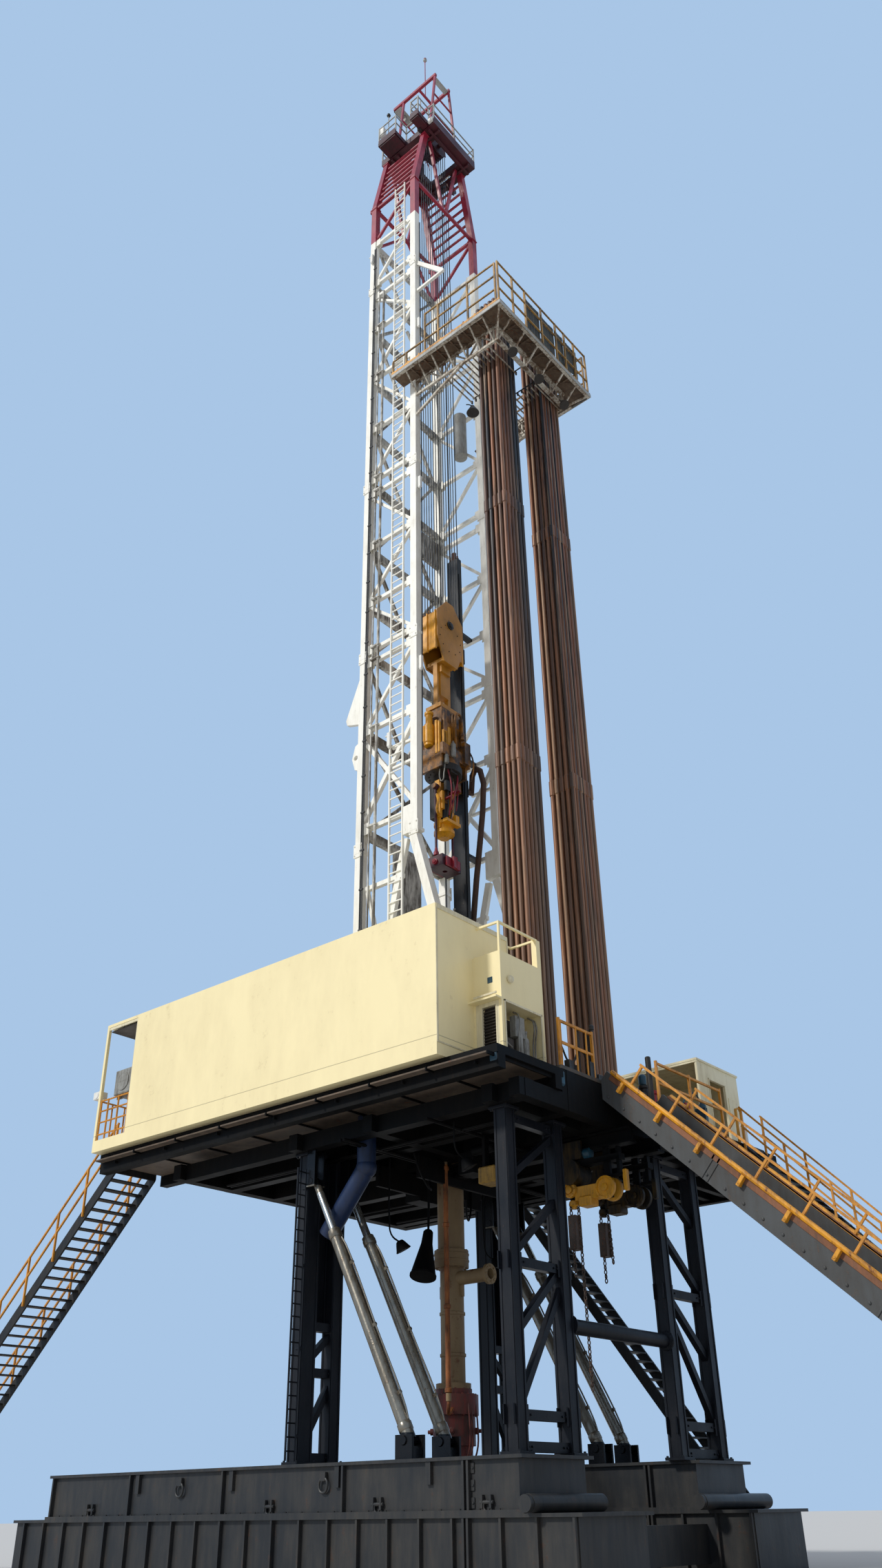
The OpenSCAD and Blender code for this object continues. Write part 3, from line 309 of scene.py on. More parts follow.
overpaint(cream_enamel, sill_seam, "#6A5E42")
pale_cream = dress(
    painted_steel(
        "pale_cream_enamel_on_sheet", "#EEE7C6", "#C2B592", "#8F744E", patch=0.1, dirty=0.4,
        rusty=0.1, rough=0.45,
    ), "shelter_walls", "shelter_roof",
)


# Rails, ramp and stairs: yellow tube, grey chute plate, black stringers and treads.
rail_yellow = dress(
    painted_steel("rail_yellow_enamel", "#E0982A", "#A06A28", "#6B3E1C", rusty=0.25, rough=0.42),
    "floor_rails", "stair_rails", "ramp_rails",
)
fence_yellow = dress(
    painted_steel(
        "weathered_yellow_on_fence", "#BC8E40", "#6C5A42", "#5E4028", dirty=0.7, rusty=0.4,
        rough=0.55,
    ), "board_fence",
)
ramp_grey = dress(
    painted_steel(
        "scuffed_grey_chute", "#4C4F51", "#3E3A36", "#5C4636", patch=0.1, dirty=0.4, rusty=0.15,
        rough=0.5, gloss=0.35,
    ), "ramp",
)
stair_black = dress(
    painted_steel(
        "black_stair_paint", "#1A1B1D", "#38342F", "#3E2C22", patch=0.04, dirty=0.4, rusty=0.12,
        rough=0.5, gloss=0.3,
    ), "stair_left", "stair_back", "stair_right",
)


# Mast: white enamel on square tube, red enamel on the top section and maroon on the crown.
white_enamel = dress(
    painted_steel(
        "white_enamel_on_tube", "#FFFEF6", "#D2CCBC", "#8A6A50", patch=0.06, dirty=0.25,
        rusty=0.08, rough=0.38,
    ), "mast_base", "mast_side_near", "mast_side_far", "mast_ladder",
)
# The mast's back and the standpipe take a darker copy of the white: real oil stains with painted
# shade.
shaded_white = dress(
    painted_steel(
        "oil_stained_and_shaded_white", "#DAD8D0", "#6E665A", "#5A4434", patch=0.05, dirty=0.9, rough=0.5
    ), "mast_back", "standpipe",
)
crown_red = dress(
    painted_steel("signal_red_on_tube", "#A5233B", "#6E1F2C", "#4A2A22", patch=0.05, rusty=0.1),
    "crown_sides", "crown_ends", "gin_pole",
)
maroon = dress(
    painted_steel(
        "maroon_on_plate", "#4E1420", "#33161A", "#3A241C", patch=0.06, dirty=0.6, rough=0.5
    ), "crown_platform", "crown_block",
)
galvanised = dress(
    painted_steel("weathered_galvanising", "#AEB0AE", "#8A8478", "#7A5A40", rusty=0.15, rough=0.5),
    "crown_rails", "counterweight",
)
board_white = dress(
    painted_steel(
        "stained_white_on_truss", "#D2CCBE", "#7A6650", "#6A4630", patch=0.04, dirty=0.8,
        rusty=0.4, rough=0.55,
    ), "racking_board", "finger_board",
)
board_brown = dress(
    painted_steel(
        "rusted_walkway_plate", "#6E5A46", "#4A3A2E", "#6A4024", patch=0.06, dirty=0.6, rusty=0.5,
        rough=0.65,
    ), "racking_deck",
)


# Drill pipe: bare rolled steel, each pipe rusted to its own brown or oiled to grey. Sooty patches
# and painted highlights in light tan runs lie along it, and the low part is lighter and browner.
STAND_PITCH = 0.0178
FIRST_STAND = (0.309, -0.1345)
PIPE_BROWNS = (
    (0.1, "#1E2024"), (0.26, "#3A3634"), (0.32, "#74492F"), (0.5, "#8E5C3E"),
    (0.62, "#503A30"), (0.74, "#B08A68"), (0.84, "#2C2A2A"), (0.93, "#85543A"),
)

drill_pipe, pipe_tree, place = new_finish("weathered_drill_pipe")
# One tone for each pipe: the place is rounded to the pitch of the stands.
half_back = (*(STAND_PITCH / 2 - start for start in FIRST_STAND), 0)
cell = add(pipe_tree, "VectorMath", {0: place, 1: half_back}, operation="ADD")
cell_size = (STAND_PITCH, STAND_PITCH, 100)
cell = add(pipe_tree, "VectorMath", {0: (cell, 0), 1: cell_size}, operation="SNAP")
tone = add(pipe_tree, "TexWhiteNoise", {"Vector": (cell, 0)}, noise_dimensions="3D")
browns = add(pipe_tree, "ValToRGB", {"Fac": (tone, "Value")})
stops = browns.color_ramp.elements
for i, (at, colour) in enumerate(PIPE_BROWNS):
    stop = stops[i] if i < 2 else stops.new(at)
    stop.position = at
    stop.color = linear(colour)
runs = noise(pipe_tree, stretched(pipe_tree, place, (60, 60, 1.2)), 3.0, 5.0, 0.65)
patches = noise(pipe_tree, stretched(pipe_tree, place, (30, 30, 3.5)), 1.6, 6.0, 0.7)
sooty = spread(pipe_tree, patches, 0.47, 0.66, high=0.75)
# Light tan runs along each pipe: painted highlights.
worn = spread(pipe_tree, runs, 0.56, 0.74, high=0.8)
height = add(pipe_tree, "SeparateXYZ", {"Vector": place}), "Z"
# Lighter and browner towards the bottom of the stands.
low = spread(pipe_tree, height, 3.0, 1.2, high=0.32)
colour = mixed(pipe_tree, sooty, (browns, "Color"), "#241C18")
colour = mixed(pipe_tree, worn, colour, "#CFAE8E")
colour = mixed(pipe_tree, low, colour, "#A87E5C")
rough = spread(pipe_tree, runs, 0, 1, 0.28, 0.7)
bump = add(pipe_tree, "Bump", {"Height": runs, "Strength": 0.2, "Distance": 0.0005})
look = {"Base Color": colour, "Roughness": rough, "Metallic": 0.2, "Normal": (bump, 0)}
add(pipe_tree, "OutputMaterial", {"Surface": (add(pipe_tree, "BsdfPrincipled", look), 0)})
dress(drill_pipe, "pipe_stands_near", "pipe_stands_far")


# Hoisting gear: ochre-yellow block and drive, black guide beam, dark rope, red links.
block_ochre = dress(
    painted_steel(
        "ochre_enamel_on_block", "#C98A22", "#7E5A26", "#4E3420", patch=0.07, dirty=0.35,
        rough=0.42, streak=2.0,
    ), "travelling_block",
)
drive_ochre = dress(
    painted_steel(
        "oily_yellow_on_drive", "#A86E1E", "#4A3420", "#2E221A", patch=0.035, dirty=0.9, rusty=0.5,
        rough=0.45, streak=1.6,
    ), "top_drive",
)
link_red = dress(
    painted_steel("worn_red_on_links", "#4E1A26", "#2A1A1C", "#3A2420", dirty=0.6, rusty=0.3),
    "elevator_links",
)
beam_black = dress(
    painted_steel("greased_black_beam", "#141517", "#2A2622", "#4A3020", patch=0.05, gloss=0.35),
    "torque_beam",
)
mud_brown = dress(
    painted_steel(
        "mud_brown_pipe", "#5E4232", "#3E2E24", "#6A4228", patch=0.04, dirty=0.6, rusty=0.4,
        rough=0.6,
    ), "mud_pipe",
)
wire_rope = dress(
    painted_steel(
        "greased_wire_rope", "#2C2C2E", "#4A4846", "#3A3430", patch=0.02, dirty=0.4, rusty=0.1,
        rough=0.35,
    ), "drilling_lines",
)


# Base-box fittings: rope eyes on welded lugs, cover plates over the pinned joints, and lamp
# brackets, all cut from plate and bar and painted black with the boxes.
UP, DOWN, FRONT, BACK, NEAR, FAR = (0, 0, 1), (
    0, 0, -1
), (1, 0, 0), (-1, 0, 0), (0, -1, 0), (0, 1, 0)


def slab(low, high, edge=0.6, side=None, rim=3.0, depth=1.0):
    """A plate or housing between two corners in millimetres: a cube brought to its size, its
    edges broken, and one side inset and pushed in where a side such as '-y' is named."""
    low, high = Vector(map(min, low, high)) / 1000, Vector(map(max, low, high)) / 1000
    bpy.ops.object.select_all(action="DESELECT")
    bpy.ops.mesh.primitive_cube_add(size=1)
    made = bpy.context.object
    made.data.transform(Matrix.Translation((low + high) / 2) @ Matrix.Diagonal((*(high - low), 1)))
    bpy.ops.object.mode_set(mode="EDIT")
    bpy.ops.mesh.select_all(action="SELECT")
    bpy.ops.mesh.bevel(offset=edge / 1000, segments=1, affect="EDGES")
    bpy.ops.object.mode_set(mode="OBJECT")
    if side:
        towards = Vector([(-1 if side[0] == "-" else 1) * (side[1] == axis) for axis in "xyz"])
        pick_faces(made, towards)
        bpy.ops.object.mode_set(mode="EDIT")
        bpy.ops.mesh.inset(thickness=rim / 1000, depth=-depth / 1000)
        bpy.ops.object.mode_set(mode="OBJECT")
    return made


def pick_faces(made, towards):
    """Leaves only the faces that look one way selected, with their own edges and corners."""
    mesh = made.data
    for group in (mesh.vertices, mesh.edges, mesh.polygons):
        group.foreach_set("select", [False] * len(group))
    corners = set()
    for face in mesh.polygons:
        if face.normal.dot(towards) > 0.99:
            face.select = True
            corners.update(face.vertices)
    for corner in corners:
        mesh.vertices[corner].select = True
    for line in mesh.edges:
        line.select = line.vertices[0] in corners and line.vertices[1] in corners


def turned(foot, towards, steps, sides=24):
    """A turned or flanged part: a disc drawn out step by step, each step a radius and a
    distance from the foot in millimetres."""
    bpy.ops.object.select_all(action="DESELECT")
    (radius, start), (top, first) = steps[0], steps[1]
    bpy.ops.mesh.primitive_cylinder_add(
        vertices=sides, radius=radius / 1000, depth=(first - start) / 1000
    )
    made = bpy.context.object
    made.data.transform(Matrix.Translation((0, 0, (first + start) / 2000)))
    pick_faces(made, Vector((0, 0, 1)))
    bpy.ops.object.mode_set(mode="EDIT")
    bpy.ops.transform.resize(value=(top / radius, top / radius, 1))
    for (was, low), (now, high) in zip(steps[1:], steps[2:]):
        bpy.ops.mesh.extrude_region_move(
            TRANSFORM_OT_translate={"value": (0, 0, (high - low) / 1000)}
        )
        bpy.ops.transform.resize(value=(now / was, now / was, 1))
    bpy.ops.object.mode_set(mode="OBJECT")
    turn = Vector((0, 0, 1)).rotation_difference(Vector(towards)).to_matrix().to_4x4()
    made.data.transform(Matrix.Translation(Vector(foot) / 1000) @ turn)
    return made


def repeat(part, offsets):
    """The part and copies of it, each with its own mesh, moved by offsets in millimetres."""
    copies = []
    for offset in offsets:
        copy = part.copy()
        copy.data = part.data.copy()
        bpy.context.collection.objects.link(copy)
        copy.data.transform(Matrix.Translation(Vector(offset) / 1000))
        copies.append(copy)
    bpy.data.objects.remove(part)
    return copies


def flat(parts):
    """The parts of nested lists, in their order."""
    return [one for part in parts for one in (flat(part) if isinstance(part, list) else [part])]


def assemble(name, slot, material, *parts, body="root", place=None):
    """Welds or bolts the parts, single or in lists, into one piece that rides with a body."""
    parts = flat(parts)
    bpy.ops.object.select_all(action="DESELECT")
    for part in parts:
        if place:
            part.data.transform(place)
        part.data.materials.clear()
        part.select_set(True)
    bpy.context.view_layer.objects.active = parts[0]
    if len(parts) > 1:
        bpy.ops.object.join()
    made = bpy.context.object
    made.name = name
    made.data.name = name
    bpy.ops.object.shade_smooth_by_angle(angle=math.radians(35))
    made.data.materials.append(material)
    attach(made, body)


def bolt_ring(centre, towards, radius, count, head=2.2):
    """Hexagon bolts round a flange, each a six-sided head with a domed end."""
    towards = Vector(towards)
    across = towards.orthogonal().normalized()
    arms = [
        Matrix.Rotation(2 * math.pi * k / count, 3, towards) @ across * radius
        for k in range(count)
    ]
    return repeat(
        turned(centre, towards, [(head, 0), (head, 1.6), (head * 0.7, 2.1)], sides=6), arms
    )


def pipe(route, diameter, sides=8):
    """Bent pipe or hose through points in millimetres: a curve with a round section, made
    into a mesh."""
    curve = bpy.data.curves.new("pipe", "CURVE")
    curve.dimensions = "3D"
    curve.bevel_depth = diameter / 2000
    curve.bevel_resolution = max(0, sides // 4 - 1)
    curve.resolution_u = 5
    curve.use_fill_caps = True
    spline = curve.splines.new("BEZIER")
    spline.bezier_points.add(len(route) - 1)
    for point, place in zip(spline.bezier_points, route):
        point.co = Vector(place) / 1000
        point.handle_left_type = point.handle_right_type = "AUTO"
    made = bpy.data.objects.new("pipe", curve)
    bpy.context.collection.objects.link(made)
    bpy.ops.object.select_all(action="DESELECT")
    made.select_set(True)
    bpy.context.view_layer.objects.active = made
    bpy.ops.object.convert(target="MESH")
    return bpy.context.object


def ring(centre, towards, major, minor, around=24, section=8):
    """A bent and welded bar ring, drawn a little oval as a hung ring wears."""
    bpy.ops.object.select_all(action="DESELECT")
    bpy.ops.mesh.primitive_torus_add(
        major_segments=around, minor_segments=section, major_radius=major / 1000,
        minor_radius=minor / 1000,
    )
    made = bpy.context.object
    bpy.ops.object.mode_set(mode="EDIT")
    bpy.ops.mesh.select_all(action="SELECT")
    bpy.ops.transform.resize(value=(1.0, 1.12, 1.0))
    bpy.ops.object.mode_set(mode="OBJECT")
    turn = Vector((0, 0, 1)).rotation_difference(Vector(towards)).to_matrix().to_4x4()
    made.data.transform(Matrix.Translation(Vector(centre) / 1000) @ turn)
    return made


box_face = 420
hooks = []
for s in (-1, 1):
    near, proud = s * box_face, s * (box_face + 8)
    for x, z in ((8, 171), (-440, 171)):
        hooks += [
            ring((x, s * (box_face + 5.5), z - 3), FAR, 12, 2.4),
            slab((x - 7, near, z + 4), (x + 7, proud, z + 20)),
        ]
    for x, z in ((156, 133), (425, 133), (-150, 133), (-760, 133)):
        hooks += [slab((x + i, near, z - 10), (x + i + 4, proud, z + 12)) for i in (-12, 8)]
        hooks += [
            turned(
                (x - 14, s * (box_face + 4), z), FRONT, [(3.5, 0), (3.5, 28), (2.6, 29)], sides=12
            ), ring((x, s * (box_face + 5), z - 6), FAR, 7, 1.6),
        ]
    for z in (132, 160, 188):
        hooks.append(slab((364, near, z - 9), (395, s * (box_face + 2.5), z + 9)))
        hooks += [
            turned((x, s * (box_face + 2), z), (0, s, 0), [(2.4, 0), (2.4, 2), (1.6, 2.6)], sides=6)
            for x in (367, 392)
        ]
assemble("base_box_hooks", "base_dark", black_enamel, hooks)
assemble(
    "base_box_bolts", "base_dark", black_enamel,
    [
        repeat(
            turned((0, s * (box_face + 5), 121), UP, [(2.6, 0), (2.6, 2), (1.6, 2.6)], sides=6),
            [(x, 0, 0) for x in range(-880, 500, 46)],
        ) for s in (-1, 1)
    ],
)


# Tower fittings: the columns are rolled sections, so each face has two flange edges with a
# hollow between them. Foot and head plates are bolted down, girts meet gusset plates.
def rolled_edges(x, y, half_x, half_y, low, high, lip=5, proud=1.6):
    """Flange edges on all four faces of a column."""
    edges = []
    for s in (-1, 1):
        for t in (-1, 1):
            corner = (x + s * half_x, y + t * half_y, low)
            far_x, far_y = x + s * (half_x + proud), y + t * (half_y - lip)
            edges.append(slab(corner, (far_x, far_y, high), edge=0.3))
            far_x, far_y = x + s * (half_x - lip), y + t * (half_y + proud)
            edges.append(slab(corner, (far_x, far_y, high), edge=0.3))
    return edges


base_top, frame_under = 207, 852
for side, place in ((-1, "near"), (1, "far")):
    for x, columns, joints, name in (
        (463, ((205, 15), (377, 15)), (221, 274, 546, 832), "front"),
        (-120, ((285, 15), (372, 21)), (221, 385, 478), "rear"),
    ):
        steel = []
        for column, half in columns:
            y = side * column
            steel += rolled_edges(x, y, 15, half, base_top + 6, frame_under - 6)
            for low in (base_top, frame_under - 6):
                steel.append(slab((x - 24, y - half - 8, low), (x + 24, y + half + 8, low + 6)))
                up = 1 if low == base_top else -1
                steel += repeat(
                    turned(
                        (x, y, low + (6 if up > 0 else 0)), (0, 0, up),
                        [(2.8, 0), (2.8, 2.4), (1.8, 3)], sides=6,
                    ), [(i * 19.5, j * (half + 4), 0) for i in (-1, 1) for j in (-1, 1)],
                )
            steel += [
                slab(
                    (x + f * 11.5 - 1.2, y - half - 9, z - 17),
                    (x + f * 11.5 + 1.2, y + half + 9, z + 17),
                ) for z in joints[1:-1] if name == "front" for f in (-1, 1)
            ]
        steel += repeat(
            turned((x + 9, 0, 0), FRONT, [(2.2, 0), (2.2, 2.2), (1.4, 2.8)], sides=6),
            [
                (0, side * (columns[0][0] + (columns[1][0] - columns[0][0]) * share), z)
                for z in joints for share in (0.14, 0.2, 0.8, 0.86)
            ],
        )
        if name == "front":
            y = side * 205
            steel += [
                turned(
                    (x + 4, y - side * 15, 442), (0, -side, 0), [(21, 0), (21, 3), (16, 5)],
                    sides=28,
                )
            ]
            steel += bolt_ring((x + 4, y - side * 18, 442), (0, -side, 0), 18.5, 8, head=1.6)
        assemble(f"tower_{name}_{place}_plates", "tower_dark", navy_enamel, steel)
assemble(
    "tower_ladder", "tower_dark", navy_enamel,
    [pipe([(-106, y, 214), (-106, y, 500), (-106, y, 812)], 5) for y in (-400, -426)],
    repeat(
        pipe([(-106, -400, 0), (-106, -413, 0), (-106, -426, 0)], 3.4),
        [(0, 0, z) for z in range(232, 806, 26)],
    ), repeat(slab((-118, -401, -3), (-104, -390, 3)), [(0, 0, z) for z in (260, 430, 600, 770)]),
)


# Raising cylinder fittings: gland nuts, piston rod eyes and oil pipes on the barrels. The rods
# are chromed, the barrels grey enamel under oil.
chrome = painted_steel(
    "oily_chromed_rod", "#C9C7C0", "#7C746A", "#6A5644", patch=0.06, dirty=0.3, rusty=0.1,
    rough=0.18,
)
chrome.node_tree.nodes["Principled BSDF"].inputs["Metallic"].default_value = 0.85
hydraulics, rods = [], []
for y in (-390, -279, 279, 390):
    foot, head = Vector((210, y, 240)), Vector((-84, y, 785))
    along = (head - foot).normalized()
    hydraulics.append(
        turned(
            foot + along * 462, along,
            [(14.4, 0), (15.4, 2), (15.4, 12), (14.2, 13), (14.2, 20), (12, 22)], sides=28,
        )
    )
    hydraulics.append(
        turned(foot + along * 18, along, [(13.6, 0), (15, 2), (15, 16), (13.6, 18)], sides=28)
    )
    hydraulics.append(
        turned(foot + Vector((0, -23, 0)), FAR, [(8, 0), (9, 2), (9, 44), (8, 46)], sides=20)
    )
    hydraulics.append(
        turned(head + Vector((0, -18.5, -4)), FAR, [(7, 0), (8, 1), (8, 36), (7, 37)], sides=20)
    )
    side = 1 if y > 0 else -1
    up = Vector((along.z, 0, -along.x))
    hydraulics.append(
        pipe(
            [
                foot + along * 36 + up * 14, foot + along * 60 + up * 18,
                foot + along * 240 + up * 18, foot + along * 430 + up * 18,
                foot + along * 456 + up * 14,
            ], 4,
        )
    )
    hydraulics += [
        turned(foot + along * d + up * 12, up, [(4.5, 0), (4.5, 8), (3, 9)], sides=6)
        for d in (90, 240, 390)
    ]
    rods.append(turned(foot + along * 484, along, [(9.2, 0), (9.2, 96), (9.0, 98)], sides=28))
assemble("raising_cylinder_fittings", "cylinder_silver", cylinder_grey, hydraulics)
assemble("raising_cylinder_rods", "cylinder_silver", chrome, rods)


# Preventer fittings: stud bolts round each flange, ram bonnets with their hinges, a side valve
# with its handwheel and the closing unit's steel pipes, all in oily oxide red.
def handwheel(centre, towards, radius):
    """A cast wheel: rim, hub and spokes."""
    towards = Vector(towards)
    across = towards.orthogonal().normalized()
    wheel = [
        ring(centre, towards, radius, radius * 0.12),
        turned(
            Vector(centre) - towards * 3, towards,
            [(radius * 0.2, 0), (radius * 0.26, 2), (radius * 0.2, 8)], sides=12,
        ),
    ]
    for k in range(4):
        arm = Matrix.Rotation(math.pi * k / 2, 3, towards) @ across
        wheel.append(
            pipe(
                [
                    Vector(centre), Vector(centre) + arm * radius * 0.5,
                    Vector(centre) + arm * radius,
                ], radius * 0.16,
            )
        )
    return wheel


assemble(
    "preventer_fittings", "bop_red", oxide_red,
    [
        bolt_ring((0, 0, z), (0, 0, up), radius, count, head=3.0)
        for z, radius, count, up in (
            (144, 42, 16, 1), (130, 42, 16, -1), (220, 45.5, 16, 1), (204, 45.5, 16, -1),
            (350, 51, 20, 1), (308, 53, 20, -1), (362, 39, 12, 1),
        )
    ],
    [
        [
            turned(
                (0, s * 80, 175), (0, s, 0),
                [
                    (31, 0), (31, 4), (24, 6), (24, 18), (19, 20), (19, 38), (12, 40), (12, 52),
                    (7, 54),
                ], sides=32,
            ), bolt_ring((0, s * 84, 175), (0, s, 0), 27.5, 12, head=2.6),
            [slab((x - 4, s * 72, 150), (x + 4, s * 92, 200)) for x in (-36, 36)],
            turned(
                (36 * s, 0, 176), (s, 0, 0),
                [
                    (15, 0), (15, 5), (9, 6), (9, 22), (15, 23), (15, 28), (13, 29), (13, 54),
                    (15, 55), (15, 60), (6, 61),
                ], sides=24,
            ), bolt_ring((36 * s + s * 28, 0, 176), (s, 0, 0), 12.4, 8, head=1.8),
            handwheel((s * 78, -30, 176), NEAR, 15),
            turned((s * 78, 0, 176), NEAR, [(9, 0), (9, 14), (4, 15), (4, 30)], sides=16),
        ] for s in (-1, 1)
    ],
    [
        pipe([(40, y, 212), (54, y * 1.1, 232), (58, y * 1.1, 290), (54, y, 330)], 4)
        for y in (-14, -5, 12)
    ],
    [
        turned(
            (0, 0, 276), (math.cos(a), math.sin(a), 0), [(7, 46), (7, 56), (4, 57), (4, 62)],
            sides=12,
        ) for a in (0.6, 2.2, 3.6, 5.3)
    ],
)


# Mud return fittings: flange bolts on the drilling nipple and its outlet, a rusty union and
# clamps on the fill-up pipe. Tan paint, mud-stained, over welded pipe.
assemble(
    "mud_return_fittings", "nipple_tan", mud_tan, bolt_ring((0, 0, 627), DOWN, 37, 16, head=2.8),
    bolt_ring((0, 0, 667), UP, 38, 16, head=2.8),
    bolt_ring((120, 0, 602), FRONT, 17.5, 8, head=2.4),
    [turned((0, 0, z), UP, [(29, 0), (31, 1), (31, 7), (29, 8)], sides=32) for z in (430, 520)],
    turned((0, 0, 640), UP, [(42.6, 0), (43.4, 1), (43.4, 4), (42.6, 5)], sides=40),
    turned((0, 0, 655), UP, [(42.6, 0), (43.4, 1), (43.4, 4), (42.6, 5)], sides=40),
    slab((28, -4, 560), (36, 4, 588)), slab((-36, -4, 560), (-28, 4, 588)),
)
rust_orange = painted_steel(
    "rusted_orange_pipe", "#A5622C", "#5E3A22", "#8A4A22", dirty=0.6, rusty=0.6, rough=0.6
)
assemble(
    "fill_up_pipe", "nipple_tan", rust_orange,
    [
        turned((68, -100, z), UP, [(6.3, 0), (8.6, 1.5), (8.6, 9), (6.3, 10.5)], sides=12)
        for z in (346, 520, 700, 832)
    ],
    pipe(
        [(68, -100, 333), (68, -100, 322), (60, -92, 312), (44, -70, 308), (36, -50, 318)], 9,
        sides=12,
    ), turned((68, -100, 352), UP, [(6.2, 0), (6.2, 490), (6.1, 494)], sides=16),
)


# Preventer hoist fittings: spoked handwheel covers, chain blocks under the trolleys and their
# load chains, and the hoist's limit box. Cast and welded steel in hoist yellow.
def chain(top, bottom, link=7.5, wire=1.6):
    """A welded chain that hangs straight: each link turned a quarter from the last."""
    top, bottom = Vector(top), Vector(bottom)
    count = max(2, round((top - bottom).length / (link * 1.15)))
    first = ring((0, 0, 0), FAR, link * 0.55, wire, 12, 6)
    links = []
    for k in range(count):
        copy = first.copy()
        copy.data = first.data.copy()
        bpy.context.collection.objects.link(copy)
        copy.data.transform(
            Matrix.Translation(
                top.lerp(bottom, k / (count - 1)) / 1000
            ) @ Matrix.Rotation(math.pi / 2 * (k % 2), 4, "Z") @ Matrix.Diagonal((0.75, 1, 1, 1))
        )
        links.append(copy)
    bpy.data.objects.remove(first)
    return links


drums, chains, hangers = [], [], []
for y in (-60, 60):
    for x, z, r in ((413, 737, 17), (508, 729, 25)):
        drums += [
            turned(
                (x, y + s * 10, z), (0, s, 0),
                [(r - 6, 0), (r, 1), (r, 9), (r - 5, 10), (r - 5, 7.5), (8, 7.5), (8, 12), (4, 13)],
                sides=36,
            ) for s in (-1, 1)
        ]
        drums += bolt_ring((x, y - 19.5, z), NEAR, r - 2.4, 8, head=1.5)
        hangers.append(slab((x - 9, y - 4, z - 20), (x + 9, y + 4, 816), edge=1))
    drums += [
        slab((424, y - 14, 712), (484, y + 14, 742), side="-y", rim=4),
        slab((434, y - 17, 698), (468, y + 17, 720), edge=3),
    ]
    drums += [
        turned((412, y, 716), DOWN, [(9, 0), (11, 2), (11, 10), (6, 14), (6, 18)], sides=20),
        slab((548, y - 6, 718), (559, y + 6, 764), edge=2),
    ]
    hangers += [
        slab((520, y - 7, 752), (550, y + 7, 758), edge=1),
        slab((536, y - 7, 756), (544, y + 7, 816), edge=1),
        slab((404, y - 12, 786), (548, y + 12, 800), side="-y", rim=2),
    ]
    chains += chain((406, y - 6, 708), (408, y - 6, 560)) + chain(
        (420, y + 4, 706), (424, y + 4, 335 if y < 0 else 600)
    )
    chains += [slab((400, y - 12, 611), (420, y + 12, 684), side="-y", rim=2)]
assemble("trolley_hangers", "hoist_yellow", floor_black_and_shade, hangers, body="trolley")
near_drums = [part for part in drums if part.data.vertices[0].co.y < 0]
assemble("trolley_drums", "hoist_yellow", hoist_yellow, near_drums, body="trolley")
# The far drums take the dark greased copy of the yellow with painted shade; the near drums keep the
# bright one.
assemble(
    "trolley_far_drums", "hoist_yellow", greasy_shaded_yellow,
    [part for part in drums if part not in near_drums], body="trolley",
)
chain_brown = painted_steel(
    "rusted_oily_chain", "#4A3A2E", "#2E2620", "#7A4A2A", patch=0.02, rusty=0.5, rough=0.5
)
assemble("trolley_chains", "hoist_yellow", chain_brown, chains, body="trolley")


# Gear under the floor: wellhead lamps on bent brackets, conduit clipped to the beams, a small
# winch and a junction box. The plate above is left as rolled, under black paint.
assemble(
    "under_floor_gear", "floor_steel", floor_black_and_shade,
    [
        [
            pipe(
                [
                    (x, y - 40, 850), (x, y - 40, drop + 60), (x, y - 34, drop + 30),
                    (x, y, drop + 14),
                ], 4,
            ),
            turned(
                (x, y, drop + 12), (0.3, 0.35, -0.9),
                [(6, -8), (9, -6), (12, 0), (17, 12), (18.5, 14), (18.5, 16)], sides=24,
            ),
        ] for x, y, drop in ((0, -186, 648), (-30, 210, 660), (320, -330, 760))
    ],
    turned(
        (0, -92, 672), (0.1, -0.3, -0.95),
        [(9, -34), (12, -30), (14, 0), (30, 76), (32, 78), (32, 82)], sides=28,
    ), pipe([(0, -84, 852), (0, -84, 760), (0, -86, 706)], 6, sides=10),
    [
        pipe([(-480, y, 846), (-200, y, 846), (300, y, 846), (440, y, 846)], 7)
        for y in (-320, -308, 170, 330)
    ],
    [
        pipe([(x, -440, 846), (x, -200, 845), (x, 100, 845), (x, 430, 846)], 8)
        for x in (40, 52, 300)
    ],
    pipe([(90, -240, 846), (100, -228, 800), (96, -190, 770), (60, -150, 800), (40, -120, 848)], 5),
    pipe([(-60, 160, 846), (-50, 140, 780), (-20, 90, 760), (0, 60, 800)], 5),
    slab((-110, -46, 790), (-62, 44, 850), side="-x", rim=6),
    slab((150, -150, 800), (196, -96, 850), side="+x", rim=6),
    slab((330, 110, 806), (372, 180, 850), side="+x", rim=5),
    [slab((x - 5, -200, 800), (x + 5, 200, 851)) for x in (-66, 66)],
    [
        turned((220, y, 838), FRONT, [(9, 0), (11, 2), (11, 60), (9, 62)], sides=20)
        for y in (-180, 200)
    ],
)
dull_yellow = painted_steel(
    "dull_yellow_on_winch", "#A88232", "#5E4A28", "#4E3420", patch=0.04, dirty=0.6, rusty=0.3,
    rough=0.5,
)
assemble(
    "small_winch", "hoist_yellow", dull_yellow,
    slab((296, -262, 738), (344, -214, 774), edge=3, side="-y", rim=5),
    turned((300, -238, 756), BACK, [(13, 0), (13, 4), (8, 5), (8, 14)], sides=24),
)
assemble(
    "winch_hangers", "floor_steel", floor_black_and_shade,
    [slab((x - 4, -246, 774), (x + 4, -230, 852), edge=1) for x in (302, 338)],
)
# The teal is taken darker than its paint: painted shade for the covers under the floor, on real
# teal enamel.
teal_paint_and_shade = painted_steel("teal_enamel_and_painted_shade_on_covers", "#15485C", "#20343E", "#4A3A2E")
assemble(
    "trolley_motor", "duct_blue", teal_paint_and_shade,
    turned((444, -68, 812), FRONT, [(11, 0), (12, 1), (12, 28), (9, 30)], sides=24), body="trolley",
)
teal = []
